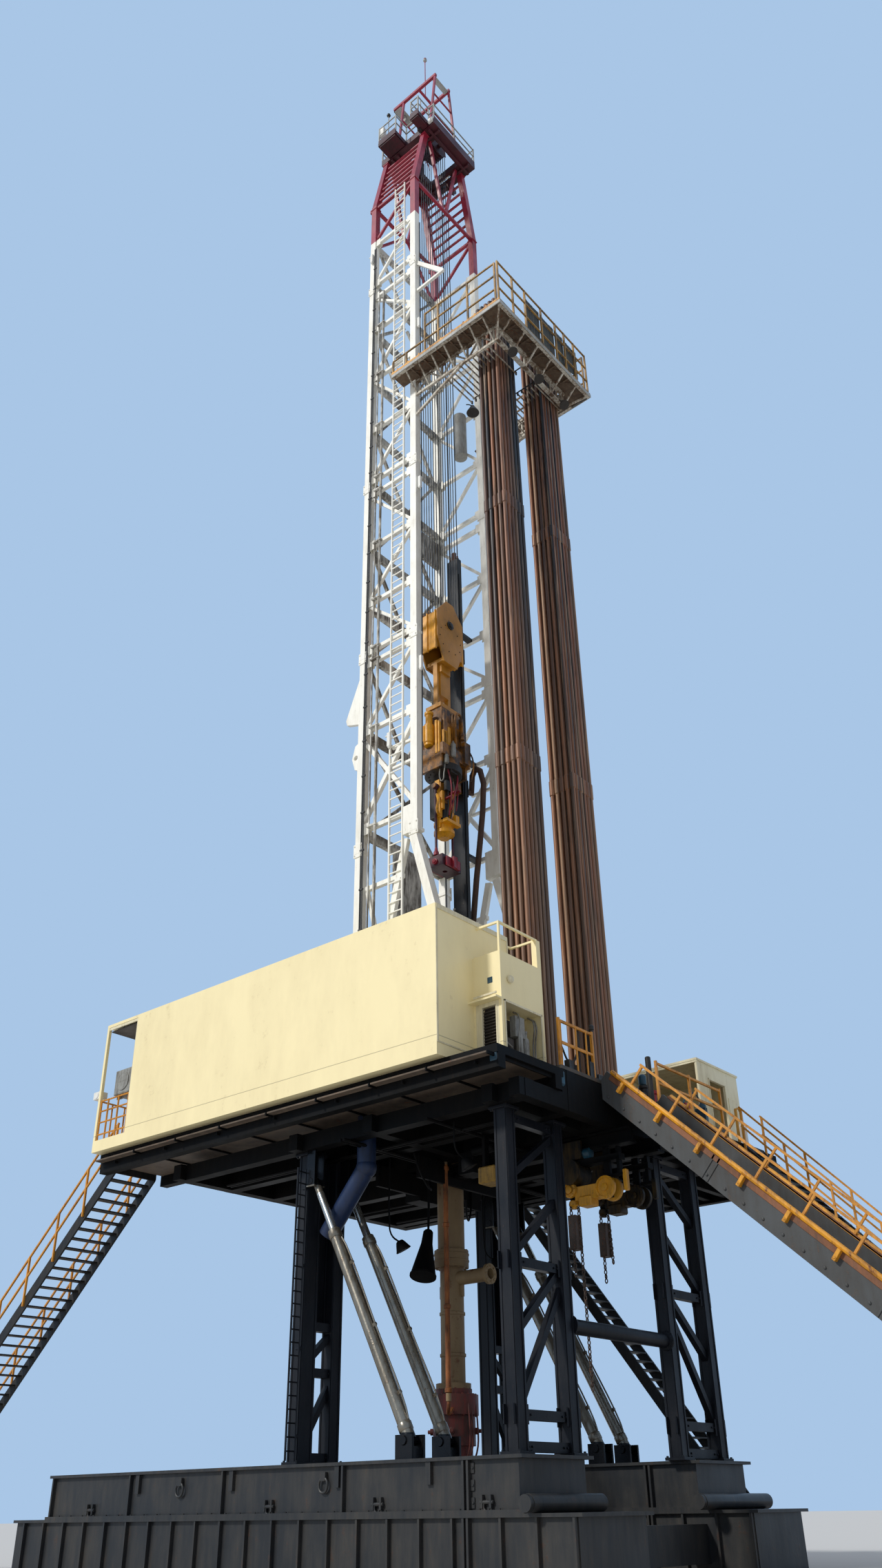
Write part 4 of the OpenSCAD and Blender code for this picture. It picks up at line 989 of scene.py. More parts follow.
for y, x in ((-498, 555), (-282, 555), (-498, -772), (-282, -772)):
    s = 1 if x > 0 else -1
    teal.append(
        turned(
            (x - s * 24, y, 908), (s, 0, 0), [(10, 0), (10, 18), (12, 19), (12, 23), (8, 24)],
            sides=20,
        ) if x < 0 else slab((x - 24, y - 14, 902), (x - 1, y + 12, 936), edge=4, side="+x", rim=5)
    )
assemble("teal_covers", "duct_blue", teal_paint_and_shade, teal)


# Doghouse fittings: brown sheet panels under the platform between the beams, the porch's
# ceiling, gate and air conditioner, a louvred window frame, and the unlettered blue plate.
panel_brown = painted_steel(
    "rusty_underside_sheet", "#6A5A4A", "#463C34", "#6E4630", patch=0.14, dirty=0.6, rough=0.7
)
panels = []
for x in range(-764, 540, 164):
    last = min(x + 158, 548)
    for low, high in ((-533, -512), (-484, -296)):
        panels.append(slab((x, low, 916), (last, high, 920), side="-z", rim=4, depth=1.5))
assemble("platform_underside", "floor_steel", panel_brown, panels)
assemble(
    "platform_ribs", "floor_steel", floor_black_and_shade,
    [
        slab((x + 159, low, 912), (x + 163, high, 920)) for x in range(-764, 520, 164)
        for low, high in ((-535, -510), (-486, -294))
    ], [slab((x - 2, -519, 905), (x + 2, -486, 912)) for x in range(-700, 540, 200)],
)
frame_cream = painted_steel(
    "cream_enamel_on_frames", "#EBE2C2", "#B8AA84", "#8A6E4A", patch=0.04, dirty=0.35, rusty=0.08
)
assemble(
    "cabin_frames", "cabin_cream", frame_cream, slab((426, -415, 948), (441, -411, 1076)),
    slab((484, -415, 948), (490, -411, 1076)), slab((441, -415, 1068), (484, -411, 1076)),
    slab((441, -415, 948), (484, -411, 968)), slab((440, -416.5, 966), (444, -409, 1070)),
    slab((481, -416.5, 966), (485, -409, 1070)), slab((444, -416.5, 1066), (481, -409, 1070)),
    slab((444, -416.5, 966), (481, -409, 970)), slab((436, -437, 1082), (500, -434, 1087)),
    slab((497, -407, 1072), (500.5, -268, 1077)),
    [slab((497, y, 948), (500.5, y + 4, 1077)) for y in (-407, -272)],
    slab((494, -407, 948), (500.5, -268, 952)), slab((419, -543, 964), (421.5, -279, 968)),
    slab((419.5, -541, 1274), (422, -281, 1286)), slab((419.5, -543, 968), (421.5, -537, 1276)),
    slab((419.5, -285, 968), (421.5, -280, 1276)), slab((-765, -542, 1270), (-640, -539, 1278)),
    slab((-641, -542.5, 968), (-636, -536, 1277)),
    turned((499, -384, 1128), FRONT, [(9, 0), (9, 4), (6, 8), (3, 9)], sides=20),
)
louvre_grey = painted_steel(
    "dark_brown_louvre", "#4A4038", "#2E2A26", "#5A4230", patch=0.02, rusty=0.1, rough=0.6
)
louvre = []
for z in range(972, 1066, 7):
    blade = slab((444, -412, z), (481, -406, z + 1.6), edge=0.3)
    blade.data.transform(
        Matrix.Translation(
            (0, -0.409, z / 1000)
        ) @ Matrix.Rotation(0.6, 4, "X") @ Matrix.Translation((0, 0.409, -z / 1000))
    )
    louvre.append(blade)
louvre += [slab((443, -405, 969), (482, -403, 1067))]
louvre += [
    slab((428, -402, 950), (450, -300, 1060), side="+x", rim=6),
    slab((452, -400, 952), (478, -350, 1004), side="+x", rim=3),
]
louvre += [slab((-762, -536, 1266), (-640, -286, 1269), side="-z", rim=8)]
assemble("cabin_louvre", "base_dark", louvre_grey, louvre)
grey_enamel = painted_steel(
    "grey_enamel_on_gear", "#9C9C96", "#5E574C", "#5A4434", dirty=0.6, rusty=0.25
)
assemble(
    "cabin_equipment", "weight_grey", grey_enamel,
    [
        turned((478, y, 950), UP, [(9, 0), (9, 62), (5, 68), (5, 76), (6, 77), (6, 82)], sides=16)
        for y in (-330, -308)
    ],
    [
        pipe([(488, y, 950), (488, y, 1000), (486, y + 6, 1060), (470, y + 8, 1072)], 4)
        for y in (-345, -292, -284)
    ], pipe([(492, -404, 966), (492, -340, 962), (492, -272, 958)], 5),
    pipe([(488, -400, 990), (480, -360, 984)], 4),
    slab((470, -352, 1010), (486, -318, 1058), side="+x", rim=4),
)
assemble(
    "small_blue_plate", "duct_blue", teal_paint_and_shade,
    slab((461, -416, 1119), (475, -414.4, 1133), side="-y", rim=1.5, depth=0.3),
)

# The air conditioner stands on two brackets on the porch wall.
assemble(
    "porch_conditioner", "weight_grey", grey_enamel,
    slab((-710, -540, 1078), (-640, -472, 1144), side="-x", rim=5),
    slab((-708, -541, 1080), (-642, -539, 1142), side="-y", rim=5, depth=0.8),
    [slab((-706, y, 1068), (-640, y + 5, 1078)) for y in (-532, -484)],
    turned((-675, -541, 1111), NEAR, [(24, 0), (24, 1.2), (22, 1.4), (22, 1.0)], sides=28),
    slab((-697, -542.4, 1110.24), (-653, -541.2, 1112.76)),
    pipe([(-640, -520, 1090), (-652, -508, 1056), (-640, -500, 1030), (-640, -500, 972)], 5),
    pipe([(-640, -480, 1144), (-650, -470, 1180), (-640, -460, 1220)], 4),
    slab((-650, -536, 1004), (-639, -506, 1050), side="-x", rim=3),
    slab((-648, -470, 1150), (-638, -440, 1196), side="-x", rim=3),
)
assemble(
    "porch_gate", "rail_yellow", rail_yellow,
    [
        pipe([(-762, -538, z), (-700, -538, z), (-645, -538, z)], 4.5)
        for z in (984, 1016, 1046, 1074)
    ],
    [pipe([(x, -538, 968), (x, -538, 1020), (x, -538, 1076)], 5) for x in (-762, -732, -688, -645)],
    pipe([(-766, -536, 1074), (-766, -420, 1074)], 4.5),
    [pipe([(-766, y, 968), (-766, y, 1074)], 4.5) for y in (-500, -460, -420)],
)
lamp_white = painted_steel(
    "white_lamp_enamel", "#F2F2EE", "#C9C4B6", "#8A7A64", dirty=0.3, rusty=0.05, rough=0.3
)
assemble(
    "porch_lamp", "cabin_cream", lamp_white,
    slab((-800, -541, 1084), (-772, -516, 1104), side="-x", rim=3),
    turned((-786, -541, 1094), NEAR, [(6, 0), (8, 1)], sides=16),
)


# Shelter fittings: trims round the door, a jamb lamp, and a winch, bottles and hoses that show
# in the open side. Folded sheet and bar in pale cream; the winch is hoist yellow.
assemble(
    "shelter_trims", "shelter_cream", pale_cream, slab((442, 597, 950), (445, 601, 1143)),
    slab((442, 689, 950), (445, 693, 1143)), slab((442, 597, 1140), (445, 693, 1145)),
    slab((193, 538, 1176), (446, 542, 1184)), slab((441, 538, 950), (445, 546, 1178)),
    slab((193, 538, 950), (199, 546, 1178)),
    slab((442, 702, 1060), (445, 742, 1110), side="+x", rim=4),
)
assemble(
    "deck_winches", "hoist_yellow", hoist_yellow,
    turned(
        (340, 600, 1000), FRONT, [(26, 0), (26, 4), (15, 5), (15, 52), (26, 53), (26, 57)],
        sides=28,
    ), slab((330, 560, 950), (410, 640, 962)), slab((330, 590, 962), (338, 610, 1004)),
    slab((400, 590, 962), (408, 610, 1004)),
    slab((300, 580, 1040), (330, 620, 1086), side="-y", rim=4),
    [turned((506, y, 950), UP, [(4, 0), (4, 96), (3, 98)], sides=12) for y in (610, 640)],
    pipe([(506, 610, 1040), (506, 625, 1052), (506, 640, 1040)], 5),
    turned((478, 300, 950), UP, [(14, 0), (14, 46), (9, 52), (9, 60)], sides=20),
    slab((452, 250, 950), (500, 284, 958)),
    turned(
        (456, 267, 976), FRONT, [(17, 0), (17, 3), (10, 4), (10, 36), (17, 37), (17, 40)], sides=24
    ),
)
assemble(
    "air_bottles", "shelter_cream", lamp_white,
    turned((492, 660, 950), UP, [(13, 0), (14, 3), (14, 58), (8, 66), (5, 68), (5, 76)], sides=24),
    turned((380, 690, 950), UP, [(12, 0), (12, 70), (6, 78)], sides=20),
)
signal_red = painted_steel(
    "signal_red_on_gear", "#B3262C", "#6A2224", "#5A2E20", dirty=0.4, rusty=0.15
)
assemble(
    "red_deck_gear", "bop_red", signal_red,
    slab((474, 340, 950), (504, 372, 1008), side="-y", rim=4),
    turned((500, 190, 950), UP, [(8, 0), (8, 44), (11, 46), (11, 54)], sides=16),
    turned((420, 630, 950), UP, [(9, 0), (9, 50), (5, 56)], sides=16),
)
assemble(
    "teal_deck_gear", "duct_blue", teal_paint_and_shade,
    turned((512, 412, 950), UP, [(10, 0), (10, 62), (6, 68), (6, 74)], sides=20),
    slab((500, 392, 950), (530, 404, 1002), side="-y", rim=3),
    turned((448, 232, 1040), UP, [(9, 0), (10, 2), (10, 22), (7, 26)], sides=16),
    pipe([(448, 232, 950), (448, 232, 1000), (448, 232, 1042)], 6),
    pipe([(512, 412, 1020), (508, 380, 1040), (500, 340, 1012), (500, 320, 960)], 4),
)
dark_steel = painted_steel(
    "oiled_dark_steel", "#3A3632", "#26221E", "#4E3626", dirty=0.6, rusty=0.3, gloss=0.3
)
assemble(
    "deck_posts", "floor_steel", dark_steel,
    [turned((530, y, 950), UP, [(7, 0), (7, 118), (5, 120)], sides=16) for y in (-128, 128)],
    [slab((500, y, 950), (530, y + 26, 974), side="+x", rim=3) for y in (-200, -100, 80, 180)],
    turned(
        (470, 200, 950), UP, [(16, 0), (16, 18), (12, 20), (12, 66), (15, 68), (15, 74)], sides=24
    ), pipe([(540, -260, 1000), (536, -220, 970), (540, -180, 1006), (538, -150, 980)], 5),
)


# Shelter platform's edge: a deep black girder along its far side on cross beams, as deep as
# the drill floor's own frame; it closes the view under the floor on that side.
corner_low, corner_high = [1000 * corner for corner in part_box("shelter_platform")]
frame_low = 1000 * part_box("floor_frame")[0][2]
girders = [
    slab(
        (corner_low[0], corner_high[1] - 16, frame_low), (corner_high[0], corner_high[1] - 3, 940),
        edge=1,
    )
]
girders += [
    slab((corner_low[0], corner_high[1] - 24, z), (corner_high[0], corner_high[1] - 2, z + 4))
    for z in (frame_low - 1, 937)
]
for k in range(6):
    x = corner_low[0] + 30 + k * (corner_high[0] - corner_low[0] - 60) / 5
    girders += [
        slab((x - 4, 548, frame_low + 10), (x + 4, corner_high[1] - 16, 938)),
        slab((x - 9, 548, frame_low + 6), (x + 9, corner_high[1] - 16, frame_low + 10)),
    ]
assemble("shelter_girders", "floor_steel", floor_black_and_shade, girders)


# Ramp fittings: yellow kerbs along the chute's side plates with their brackets, and the worn
# conveyor trough between them. Pressed channel, bolted on, its paint rubbed through.
kerb_yellow = painted_steel(
    "bright_kerb_yellow", "#E8A222", "#7E4E24", "#6A3A1C", patch=0.06, rusty=0.4, rough=0.45
)
trough_brown = painted_steel(
    "rubbed_brown_trough", "#8A5634", "#5E4434", "#7A4A2E", patch=0.05, dirty=0.6, rusty=0.5,
    rough=0.6,
)
down_ramp = Matrix.Translation((0.55, 0, 0.95)) @ Matrix.Rotation(math.radians(43), 4, "Y")
assemble(
    "ramp_kerbs", "rail_yellow", kerb_yellow,
    [
        pipe([(16, s * 127, 30), (600, s * 127, 30), (1290, s * 127, 30)], 11, sides=14)
        for s in (-1, 1)
    ],
    [
        [
            repeat(
                slab((-4, s * 127 - 8, 2), (4, s * 127 + 8, 26)),
                [(x, 0, 0) for x in range(60, 1280, 118)],
            ),
            repeat(
                turned((0, s * 135, 8), (0, s, 0), [(3, -8), (3, 0.4), (2, 1.2)], sides=6),
                [(x, 0, 0) for x in range(60, 1280, 118)],
            ),
        ] for s in (-1, 1)
    ], place=down_ramp,
)
assemble(
    "ramp_lips", "ramp_grey", trough_brown,
    [slab((16, s * 118 - 3, 24), (1290, s * 118 + 3, 30), edge=1) for s in (-1, 1)],
    [slab((16, s * 124 - 1, 12), (1290, s * 124 + 1, 24)) for s in (-1, 1)], place=down_ramp,
)
assemble(
    "ramp_trough", "ramp_grey", trough_brown,
    [slab((30, s * 104 - 9, -14), (1280, s * 104 + 9, -8), edge=1) for s in (-1, 1)],
    slab((30, -40, -15), (1280, 40, -11), edge=1),
    repeat(
        turned((0, -96, -9), FAR, [(5, 0), (6, 2), (6, 190), (5, 192)], sides=12),
        [(x, 0, 0) for x in range(90, 1260, 195)],
    ), place=down_ramp,
)
assemble(
    "ramp_side_bolts", "ramp_grey", ramp_grey,
    repeat(
        turned((0, -123, -20), NEAR, [(3, 0), (3, 2), (2, 2.6)], sides=6),
        [(x, 0, 0) for x in range(40, 1290, 50)],
    ), [slab((x, -125, -31), (x + 5, -122.5, 23)) for x in (330, 345, 760, 775)], place=down_ramp,
)


# Posts on the floor's front edge beside the ramp: three yellow handrail posts with a knee rail,
# a black winch post and a hose hanger, all in sockets on the floor beam.
assemble(
    "front_edge_rail", "rail_yellow", rail_yellow,
    [
        turned((546, y, 948), UP, [(3.4, 0), (3.4, 3), (2.2, 4), (2.2, 106), (1.4, 108)], sides=10)
        for y in (-267, -207, -167)
    ], [pipe([(546, -267, z), (546, -207, z), (546, -167, z)], 3.6) for z in (1002, 1052)],
)
assemble(
    "front_edge_stays", "beam_black", dark_steel,
    turned(
        (542, -134, 948), UP, [(7, 0), (7, 5), (4, 6), (4, 118), (6, 119), (6, 128), (3, 131)],
        sides=16,
    ),
    pipe(
        [
            (540, -190, 952), (540, -190, 1040), (536, -184, 1062), (528, -170, 1050),
            (526, -166, 1000),
        ], 4,
    ), slab((534, -160, 950), (548, -144, 986), side="+x", rim=2),
    slab((532, -240, 950), (546, -222, 972), side="+x", rim=2),
)


# Mast fittings: gusset plates where girts meet the legs, bolted ears at the section joints,
# foot pins, cable runs with clips and the white lamps on the legs. All welded or bolted on.
girt_heights = (1820, 2165, 2420, 2470, 2665, 2910, 3150, 3215, 3470, 3740, 4015, 4210, 4290, 4545)
assemble(
    "mast_gussets", "mast_white", white_enamel,
    [
        [
            [
                [
                    repeat(
                        slab(
                            (x + turn * 12.5, s * 187 + f * 6.9 - 0.6, -19),
                            (x + turn * 34, s * 187 + f * 6.9 + 0.6, 19), edge=0.4,
                        ), [(0, 0, z) for z in girt_heights],
                    ) for f in (-1, 1)
                ] for x, turn in ((-158, 1), (55, -1))
            ],
            [
                [
                    repeat(
                        slab(
                            (x - 17, s * 200.5 - 1.5, -22), (x + 17, s * 200.5 + 1.5, 22), edge=0.8
                        ), [(0, 0, z) for z in (1755, 2445, 3182, 4250)],
                    ),
                    repeat(
                        turned(
                            (0, s * 202, 0), (0, s, 0), [(2.4, -1), (2.4, 2), (1.6, 2.8)], sides=6
                        ),
                        [
                            (x + i, 0, z + k) for z in (1755, 2445, 3182, 4250) for i in (-12, 12)
                            for k in (-15, 15)
                        ],
                    ),
                ] for x in (-158, 55)
            ],
            turned((265, s * 187 - 27, 968), FAR, [(11, 0), (13, 2), (13, 52), (11, 54)], sides=24),
            turned((-158, s * 187 - 27, 966), FAR, [(9, 0), (11, 2), (11, 52), (9, 54)], sides=24),
            [
                slab((250, s * 187 + f * 24 - 2, 950), (284, s * 187 + f * 24 + 2, 990))
                for f in (-1, 1)
            ],
            [
                slab((-178, s * 187 + f * 24 - 2, 950), (-138, s * 187 + f * 24 + 2, 984))
                for f in (-1, 1)
            ],
        ] for s in (-1, 1)
    ],
    [
        [slab((-168, s * 158 - 14, z - 20), (-165, s * 158 + 14, z + 20)) for s in (-1, 1)]
        for z in girt_heights
    ],
)
cable_black = painted_steel(
    "rubber_sheathed_cable", "#2A2A2C", "#4A4844", "#3A3632", patch=0.02, dirty=0.4, rusty=0.05,
    rough=0.6,
)
assemble(
    "mast_cables", "rope_dark", cable_black,
    [
        pipe(
            [
                (-146 + i * 4.5, -201.5, 960), (-146 + i * 4.5, -201.5, 2400),
                (-146 + i * 4.5, -201.5, 4500),
            ], 3,
        ) for i in range(3)
    ], pipe([(-140, 176, 960), (-140, 172, 2400), (-140, 172, 4400)], 5),
    pipe([(66, -176, 1760), (70, -174, 2600), (70, -174, 4500)], 4),
    repeat(slab((-149, -204, -3), (-134, -199.4, 3)), [(0, 0, z) for z in range(1000, 4500, 125)]),
)
assemble(
    "mast_lamps", "mast_white", lamp_white,
    [
        [
            slab((x - 4, y - 5, z), (x + 8, y + 5, z + 48), side="+x", rim=1.5, depth=0.8),
            turned((x - 6, y, z + 40), FRONT, [(3, -6), (3, 4)], sides=12),
            turned((x + 2, y, z - 6), UP, [(3, 0), (5, 3), (5, 7)], sides=12),
        ]
        for x, y, z in (
            (72, -187, 2300), (72, -187, 3050), (72, -187, 3860), (-158, -206, 4420),
            (72, 187, 2700), (-40, -203, 2060),
        )
    ],
)


# Crown fittings: sheave guards of bent bar, flange plates at the knees, a fast-line sheave and
# its bracket, deck beams, an obstruction lamp and a white lamp box, in maroon, red and grey.
assemble(
    "crown_guards", "crown_red", crown_red,
    [
        pipe(
            [
                (x, 58 * math.cos(a), 5275 + 58 * math.sin(a))
                for a in [math.pi * k / 8 for k in range(9)]
            ], 5,
        ) for x in (-70, -24, 24, 70)
    ],
    [
        pipe([(-76, y, z), (0, y, z), (76, y, z)], 4)
        for y, z in ((0, 5333), (41, 5316), (-41, 5316))
    ],
    [
        [
            [slab((x - 16, s * 187 - 15, 4779), (x + 16, s * 187 + 15, 4783)) for x in (-158, 55)],
            [slab((x - 15, s * 121 - 16, 5172), (x + 15, s * 121 + 16, 5180)) for x in (-158, 55)],
            [
                repeat(
                    turned((x, s * 187, 4783), UP, [(2.6, 0), (2.6, 2), (1.6, 3)], sides=6),
                    [(i, k, 0) for i in (-13.4, 13.4) for k in (-12.5, 12.5)],
                ) for x in (-158, 55)
            ],
        ] for s in (-1, 1)
    ],
)
assemble(
    "crown_beams", "crown_maroon", maroon,
    [slab((x - 5, -134, 5166), (x + 5, 134, 5180)) for x in (-120, -90, 90)],
    [slab((-174, y - 5, 5168), (120, y + 5, 5180)) for y in (-100, 100)],
    slab((-130, -204, 5184), (-40, -140, 5192), side="-z", rim=5),
    slab((52, -204, 5184), (90, -140, 5192), side="-z", rim=4),
    turned(
        (-8, 124, 5150), FRONT, [(30, 0), (32, 1), (27, 4), (27, 8), (32, 11), (30, 12)], sides=32
    ), slab((-14, 118, 5150), (-9, 130, 5200)), slab((5, 118, 5150), (10, 130, 5200)),
    slab((-178, -138, 5216), (-174, 138, 5232)), slab((120, -138, 5216), (124, 138, 5232)),
    slab((-178, 134, 5216), (124, 138, 5232)), slab((-134, -208, 5216), (-36, -204, 5232)),
    slab((48, -208, 5216), (94, -204, 5232)),
)
assemble(
    "crown_tackle", "crown_rail_grey", galvanised,
    pipe(
        [
            (-178, -60, 5340), (-190, -20, 5420), (-186, 40, 5430), (-170, 90, 5350),
            (-168, 100, 5250),
        ], 6, sides=10,
    ), slab((-189, -47, 5728), (-150, 47, 5735)), slab((40, -42, 5728), (62, 42, 5735)),
    turned((-170, 0, 5728), DOWN, [(7, 0), (10, 4), (10, 20), (4, 26), (4, 34)], sides=16),
    turned(
        (-170, -8, 5690), FAR, [(15, 0), (15, 3), (11, 4), (11, 12), (15, 13), (15, 16)], sides=24
    ), turned((60, -150, 5216), UP, [(2, 0), (2, 150), (1.6, 190)], sides=8),
    turned((-84, -198, 5216), UP, [(2, 0), (2, 160)], sides=8),
)
assemble(
    "crown_beacon", "beam_black", dark_steel,
    turned((-84, -198, 5376), UP, [(4, 0), (7, 3), (9, 9), (7, 16), (3, 20)], sides=20),
    slab((46, -158, 5180), (62, -140, 5212), side="-y", rim=3),
)
assemble(
    "crown_lamp_boxes", "mast_white", lamp_white,
    slab((-132, -205, 5262), (-108, -186, 5318), side="-y", rim=3),
    turned((-120, -196, 5318), UP, [(7, 0), (9, 2), (9, 12), (5, 15)], sides=16),
    slab((98, -150, 5190), (120, -139, 5214), side="-y", rim=2),
)
assemble(
    "rod_ball", "crown_rail_grey", galvanised,
    turned((-39, 0, 6044), UP, [(2, 0), (7, 4), (9, 9), (9, 13), (6, 18), (1, 21)], sides=20),
)
assemble(
    "crown_top_bar", "beam_black", dark_steel, slab((-190, -49, 5736), (-140, -45, 5742)),
    slab((-192, -49, 5730), (-188, 49, 5742)),
)


# Racking platform fittings: gussets and latch blocks of the fingers, two floodlights under the
# front corner, and the brown lattice below the walkways, welded from angle.
assemble(
    "finger_latches", "board_white", dark_steel,
    repeat(
        slab((-2.6, -41, 3489), (2.6, -35, 3503)),
        [(309 + (k - 0.5) * 17.8, 0, 0) for k in range(-6, 6)],
    ),
    repeat(
        slab((-2.6, 35, 3489), (2.6, 41, 3503)),
        [(330 + (k - 0.5) * 17.8, 0, 0) for k in range(-7, 6)],
    ), [pipe([(200, s * 40, 3507), (320, s * 40, 3507), (410, s * 40, 3507)], 5) for s in (-1, 1)],
)
lattice = []
for s in (-1, 1):
    for i in range(6):
        x = 71 + i * 59
        lattice += [
            slab((x - 12, s * 194 - 5, 3552), (x + 12, s * 194 + 5, 3555)),
            slab((x + 18, s * 196, 3559), (x + 24, s * 262, 3566)),
        ]
        lattice.append(
            pipe([(x, s * 256, 3562), (x + 29, s * 226, 3562), (x + 58, s * 198, 3562)], 4)
        )
for y in range(-190, 190, 76):
    lattice += [
        pipe([(430, y, 3562), (460, y + 38, 3562), (490, y + 76, 3562)], 4),
        slab((436, y + 30, 3558), (490, y + 36, 3566)),
        slab((426, y - 8, 3486), (436, y + 8, 3492)),
    ]
assemble("racking_lattice", "board_brown", board_brown, lattice)
assemble(
    "racking_edge", "board_white", galvanised,
    [slab((14, s * 266.5 - 1.5, 3556), (500, s * 266.5 + 1.5, 3571)) for s in (-1, 1)],
    slab((496.5, -265, 3556), (499.5, 265, 3571)),
)
assemble(
    "racking_toe_boards", "rail_yellow", kerb_yellow, slab((14, -268, 3571), (498, -266, 3581)),
    slab((14, 266, 3571), (498, 268, 3581)),
    repeat(slab((-3, -266, 3571), (3, -262, 3590)), [(x, 0, 0) for x in range(40, 490, 50)]),
)
assemble(
    "racking_floodlights", "beam_black", dark_steel,
    [
        [
            pipe([(440, y, 3488), (446, y, 3470), (450, y, 3462)], 4),
            turned(
                (450, y, 3468), (0.35, 0, -0.94), [(6, -6), (8, 0), (17, 18), (18, 20), (18, 22)],
                sides=20,
            ),
        ] for y in (0, -150, 150)
    ], turned((166, 0, 3530), DOWN, [(6, 0), (8, 4), (22, 32), (23, 35)], sides=24),
    pipe([(166, -36, 3507), (166, -20, 3520), (166, 0, 3530)], 4),
)


# Wind covers: dark canvas sheets laced to the inside of the front fence. The cloth is heavy,
# green-black and faded; it hangs in folds and its lower edge is uneven where it has slipped.
def hung_cover(name, y_low, y_high, z_low, z_high, seed):
    """A canvas sheet on lacing: folds grow downwards, the lower edge dips between the posts."""
    cloth = random.Random(seed)
    waves = [(cloth.uniform(0.8, 1.6), cloth.uniform(0, 6.3), k) for k in (1.5, 3.2, 5.6)]
    columns, rows = 26, 14
    bpy.ops.object.select_all(action="DESELECT")
    bpy.ops.mesh.primitive_grid_add(x_subdivisions=columns, y_subdivisions=rows, size=1)
    made = bpy.context.object
    made.name = name
    dip = cloth.uniform(6, 16)
    for corner in made.data.vertices:
        across, down = corner.co.x + 0.5, 0.5 - corner.co.y
        fold = sum(
            size * math.sin(turn + k * 6.283 * across) for size, turn, k in waves
        ) * (0.25 + 0.5 * down)
        drop = (z_high - z_low - dip * (0.5 + 0.5 * math.sin(waves[0][1] + 5 * across))) * down
        sag = 3.5 * math.sin(math.pi * across) * (1 - down)
        corner.co = Vector(
            (
                486.2 + max(-2.2, min(1.9, fold)), y_low + (y_high - y_low) * across,
                z_high - sag - drop,
            )
        ) / 1000
    made.data.update()
    made.data.materials.append(canvas)
    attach(made, "root")
    for face in made.data.polygons:
        face.use_smooth = True
    return made


canvas, weave, place = new_finish("faded_tarpaulin_canvas")
stains = noise(weave, place, 28.0, 5.0, 0.6)
# Canvas threads are 0.1 mm at this scale, too fine to show: drawn 1.5 mm apart.
thread = {"Vector": place, "Scale": 210.0, "Distortion": 0.6}
threads = [(add(weave, "TexWave", thread, bands_direction=way), "Fac") for way in "ZY"]
tint = mixed(weave, spread(weave, stains, 0.35, 0.7), linear("#14181A"), "#2E3A36")
woven = maths(weave, "ADD", *threads)
relief = add(weave, "Bump", {"Height": woven, "Strength": 0.3, "Distance": 0.0004})
rough = spread(weave, stains, 0, 1, 0.75, 0.95)
look = {"Base Color": tint, "Roughness": rough, "Sheen Weight": 0.2, "Normal": (relief, 0)}
add(weave, "OutputMaterial", {"Surface": (add(weave, "BsdfPrincipled", look), 0)})
covers_hung = [
    hung_cover("wind_cover_1", -106, -14, 3588, 3758, 3),
    hung_cover("wind_cover_2", -10, 73, 3592, 3754, 8),
    hung_cover("wind_cover_3", 77, 128, 3586, 3757, 12),
    hung_cover("wind_cover_4", 132, 213, 3597, 3755, 21),
]
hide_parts("wind_covers")


# Travelling block fittings: folded side covers in bright yellow enamel between the cheeks,
# and a forged nut and lock plate on the sheave pin. The covers are bolted to the cheeks.
bright_yellow = painted_steel(
    "bright_yellow_on_covers", "#EFA91C", "#A8741F", "#6A4420", dirty=0.4, rusty=0.12, rough=0.36
)
block_top = 2685
assemble(
    "block_covers", "block_yellow", bright_yellow,
    slab((-33, -67, block_top - 212), (33, -63.2, block_top - 66), side="-y", rim=5),
    [slab((x, -70.5, block_top - 216), (x + 5, -63, block_top - 62)) for x in (-35, -4, 30)],
    slab((-33, 63.2, block_top - 212), (33, 67, block_top - 66), side="+y", rim=5),
    [slab((x, 63, block_top - 216), (x + 5, 70.5, block_top - 62)) for x in (-35, -4, 30)],
    body="hoist",
)
assemble(
    "block_pins", "beam_black", dark_steel,
    [
        [
            turned(
                (s * 39, 0, block_top - 93), (s, 0, 0), [(15, 0), (15, 3), (9, 4), (9, 7), (6, 8)]
            ), bolt_ring((s * 42, 0, block_top - 93), (s, 0, 0), 12, 6, head=1.6),
            bolt_ring((s * 39, 0, block_top - 150), (s, 0, 0), 52, 10, head=1.8),
        ] for s in (-1, 1)
    ], body="hoist",
)


# Top drive fittings: motor with its blower on the doghouse side, wash pipe gooseneck, grey
# accumulator, gearbox flange with bolts, junction box, and the dark hood over the handler.
to_drive = Matrix.Translation((0, 0, 2.031))
assemble(
    "drive_motor", "block_yellow", bright_yellow,
    turned(
        (-4, -60, 84), UP,
        [
            (15, 0), (15, 8), (18, 10), (18, 70), (15, 72), (15, 76), (11, 77), (11, 112),
            (14, 113), (14, 121), (6, 124),
        ], sides=32,
    ),
    [
        slab(
            (-8 + 26 * math.cos(a) - 7, -60 + 19 * math.sin(a) - 1, 96),
            (-8 + 26 * math.cos(a) - 3, -60 + 19 * math.sin(a) + 1, 152),
        ) for a in (3.6, 4.2, 4.8)
    ], slab((38, -52, 62), (47, -34, 130), side="+x", rim=3),
    slab((38, -30, 76), (46, -16, 150), side="+x", rim=2.5), slab((20, -62, 48), (28, -53, 168)),
    slab((32, -62, 48), (38, -53, 160)), body="hoist", place=to_drive,
)
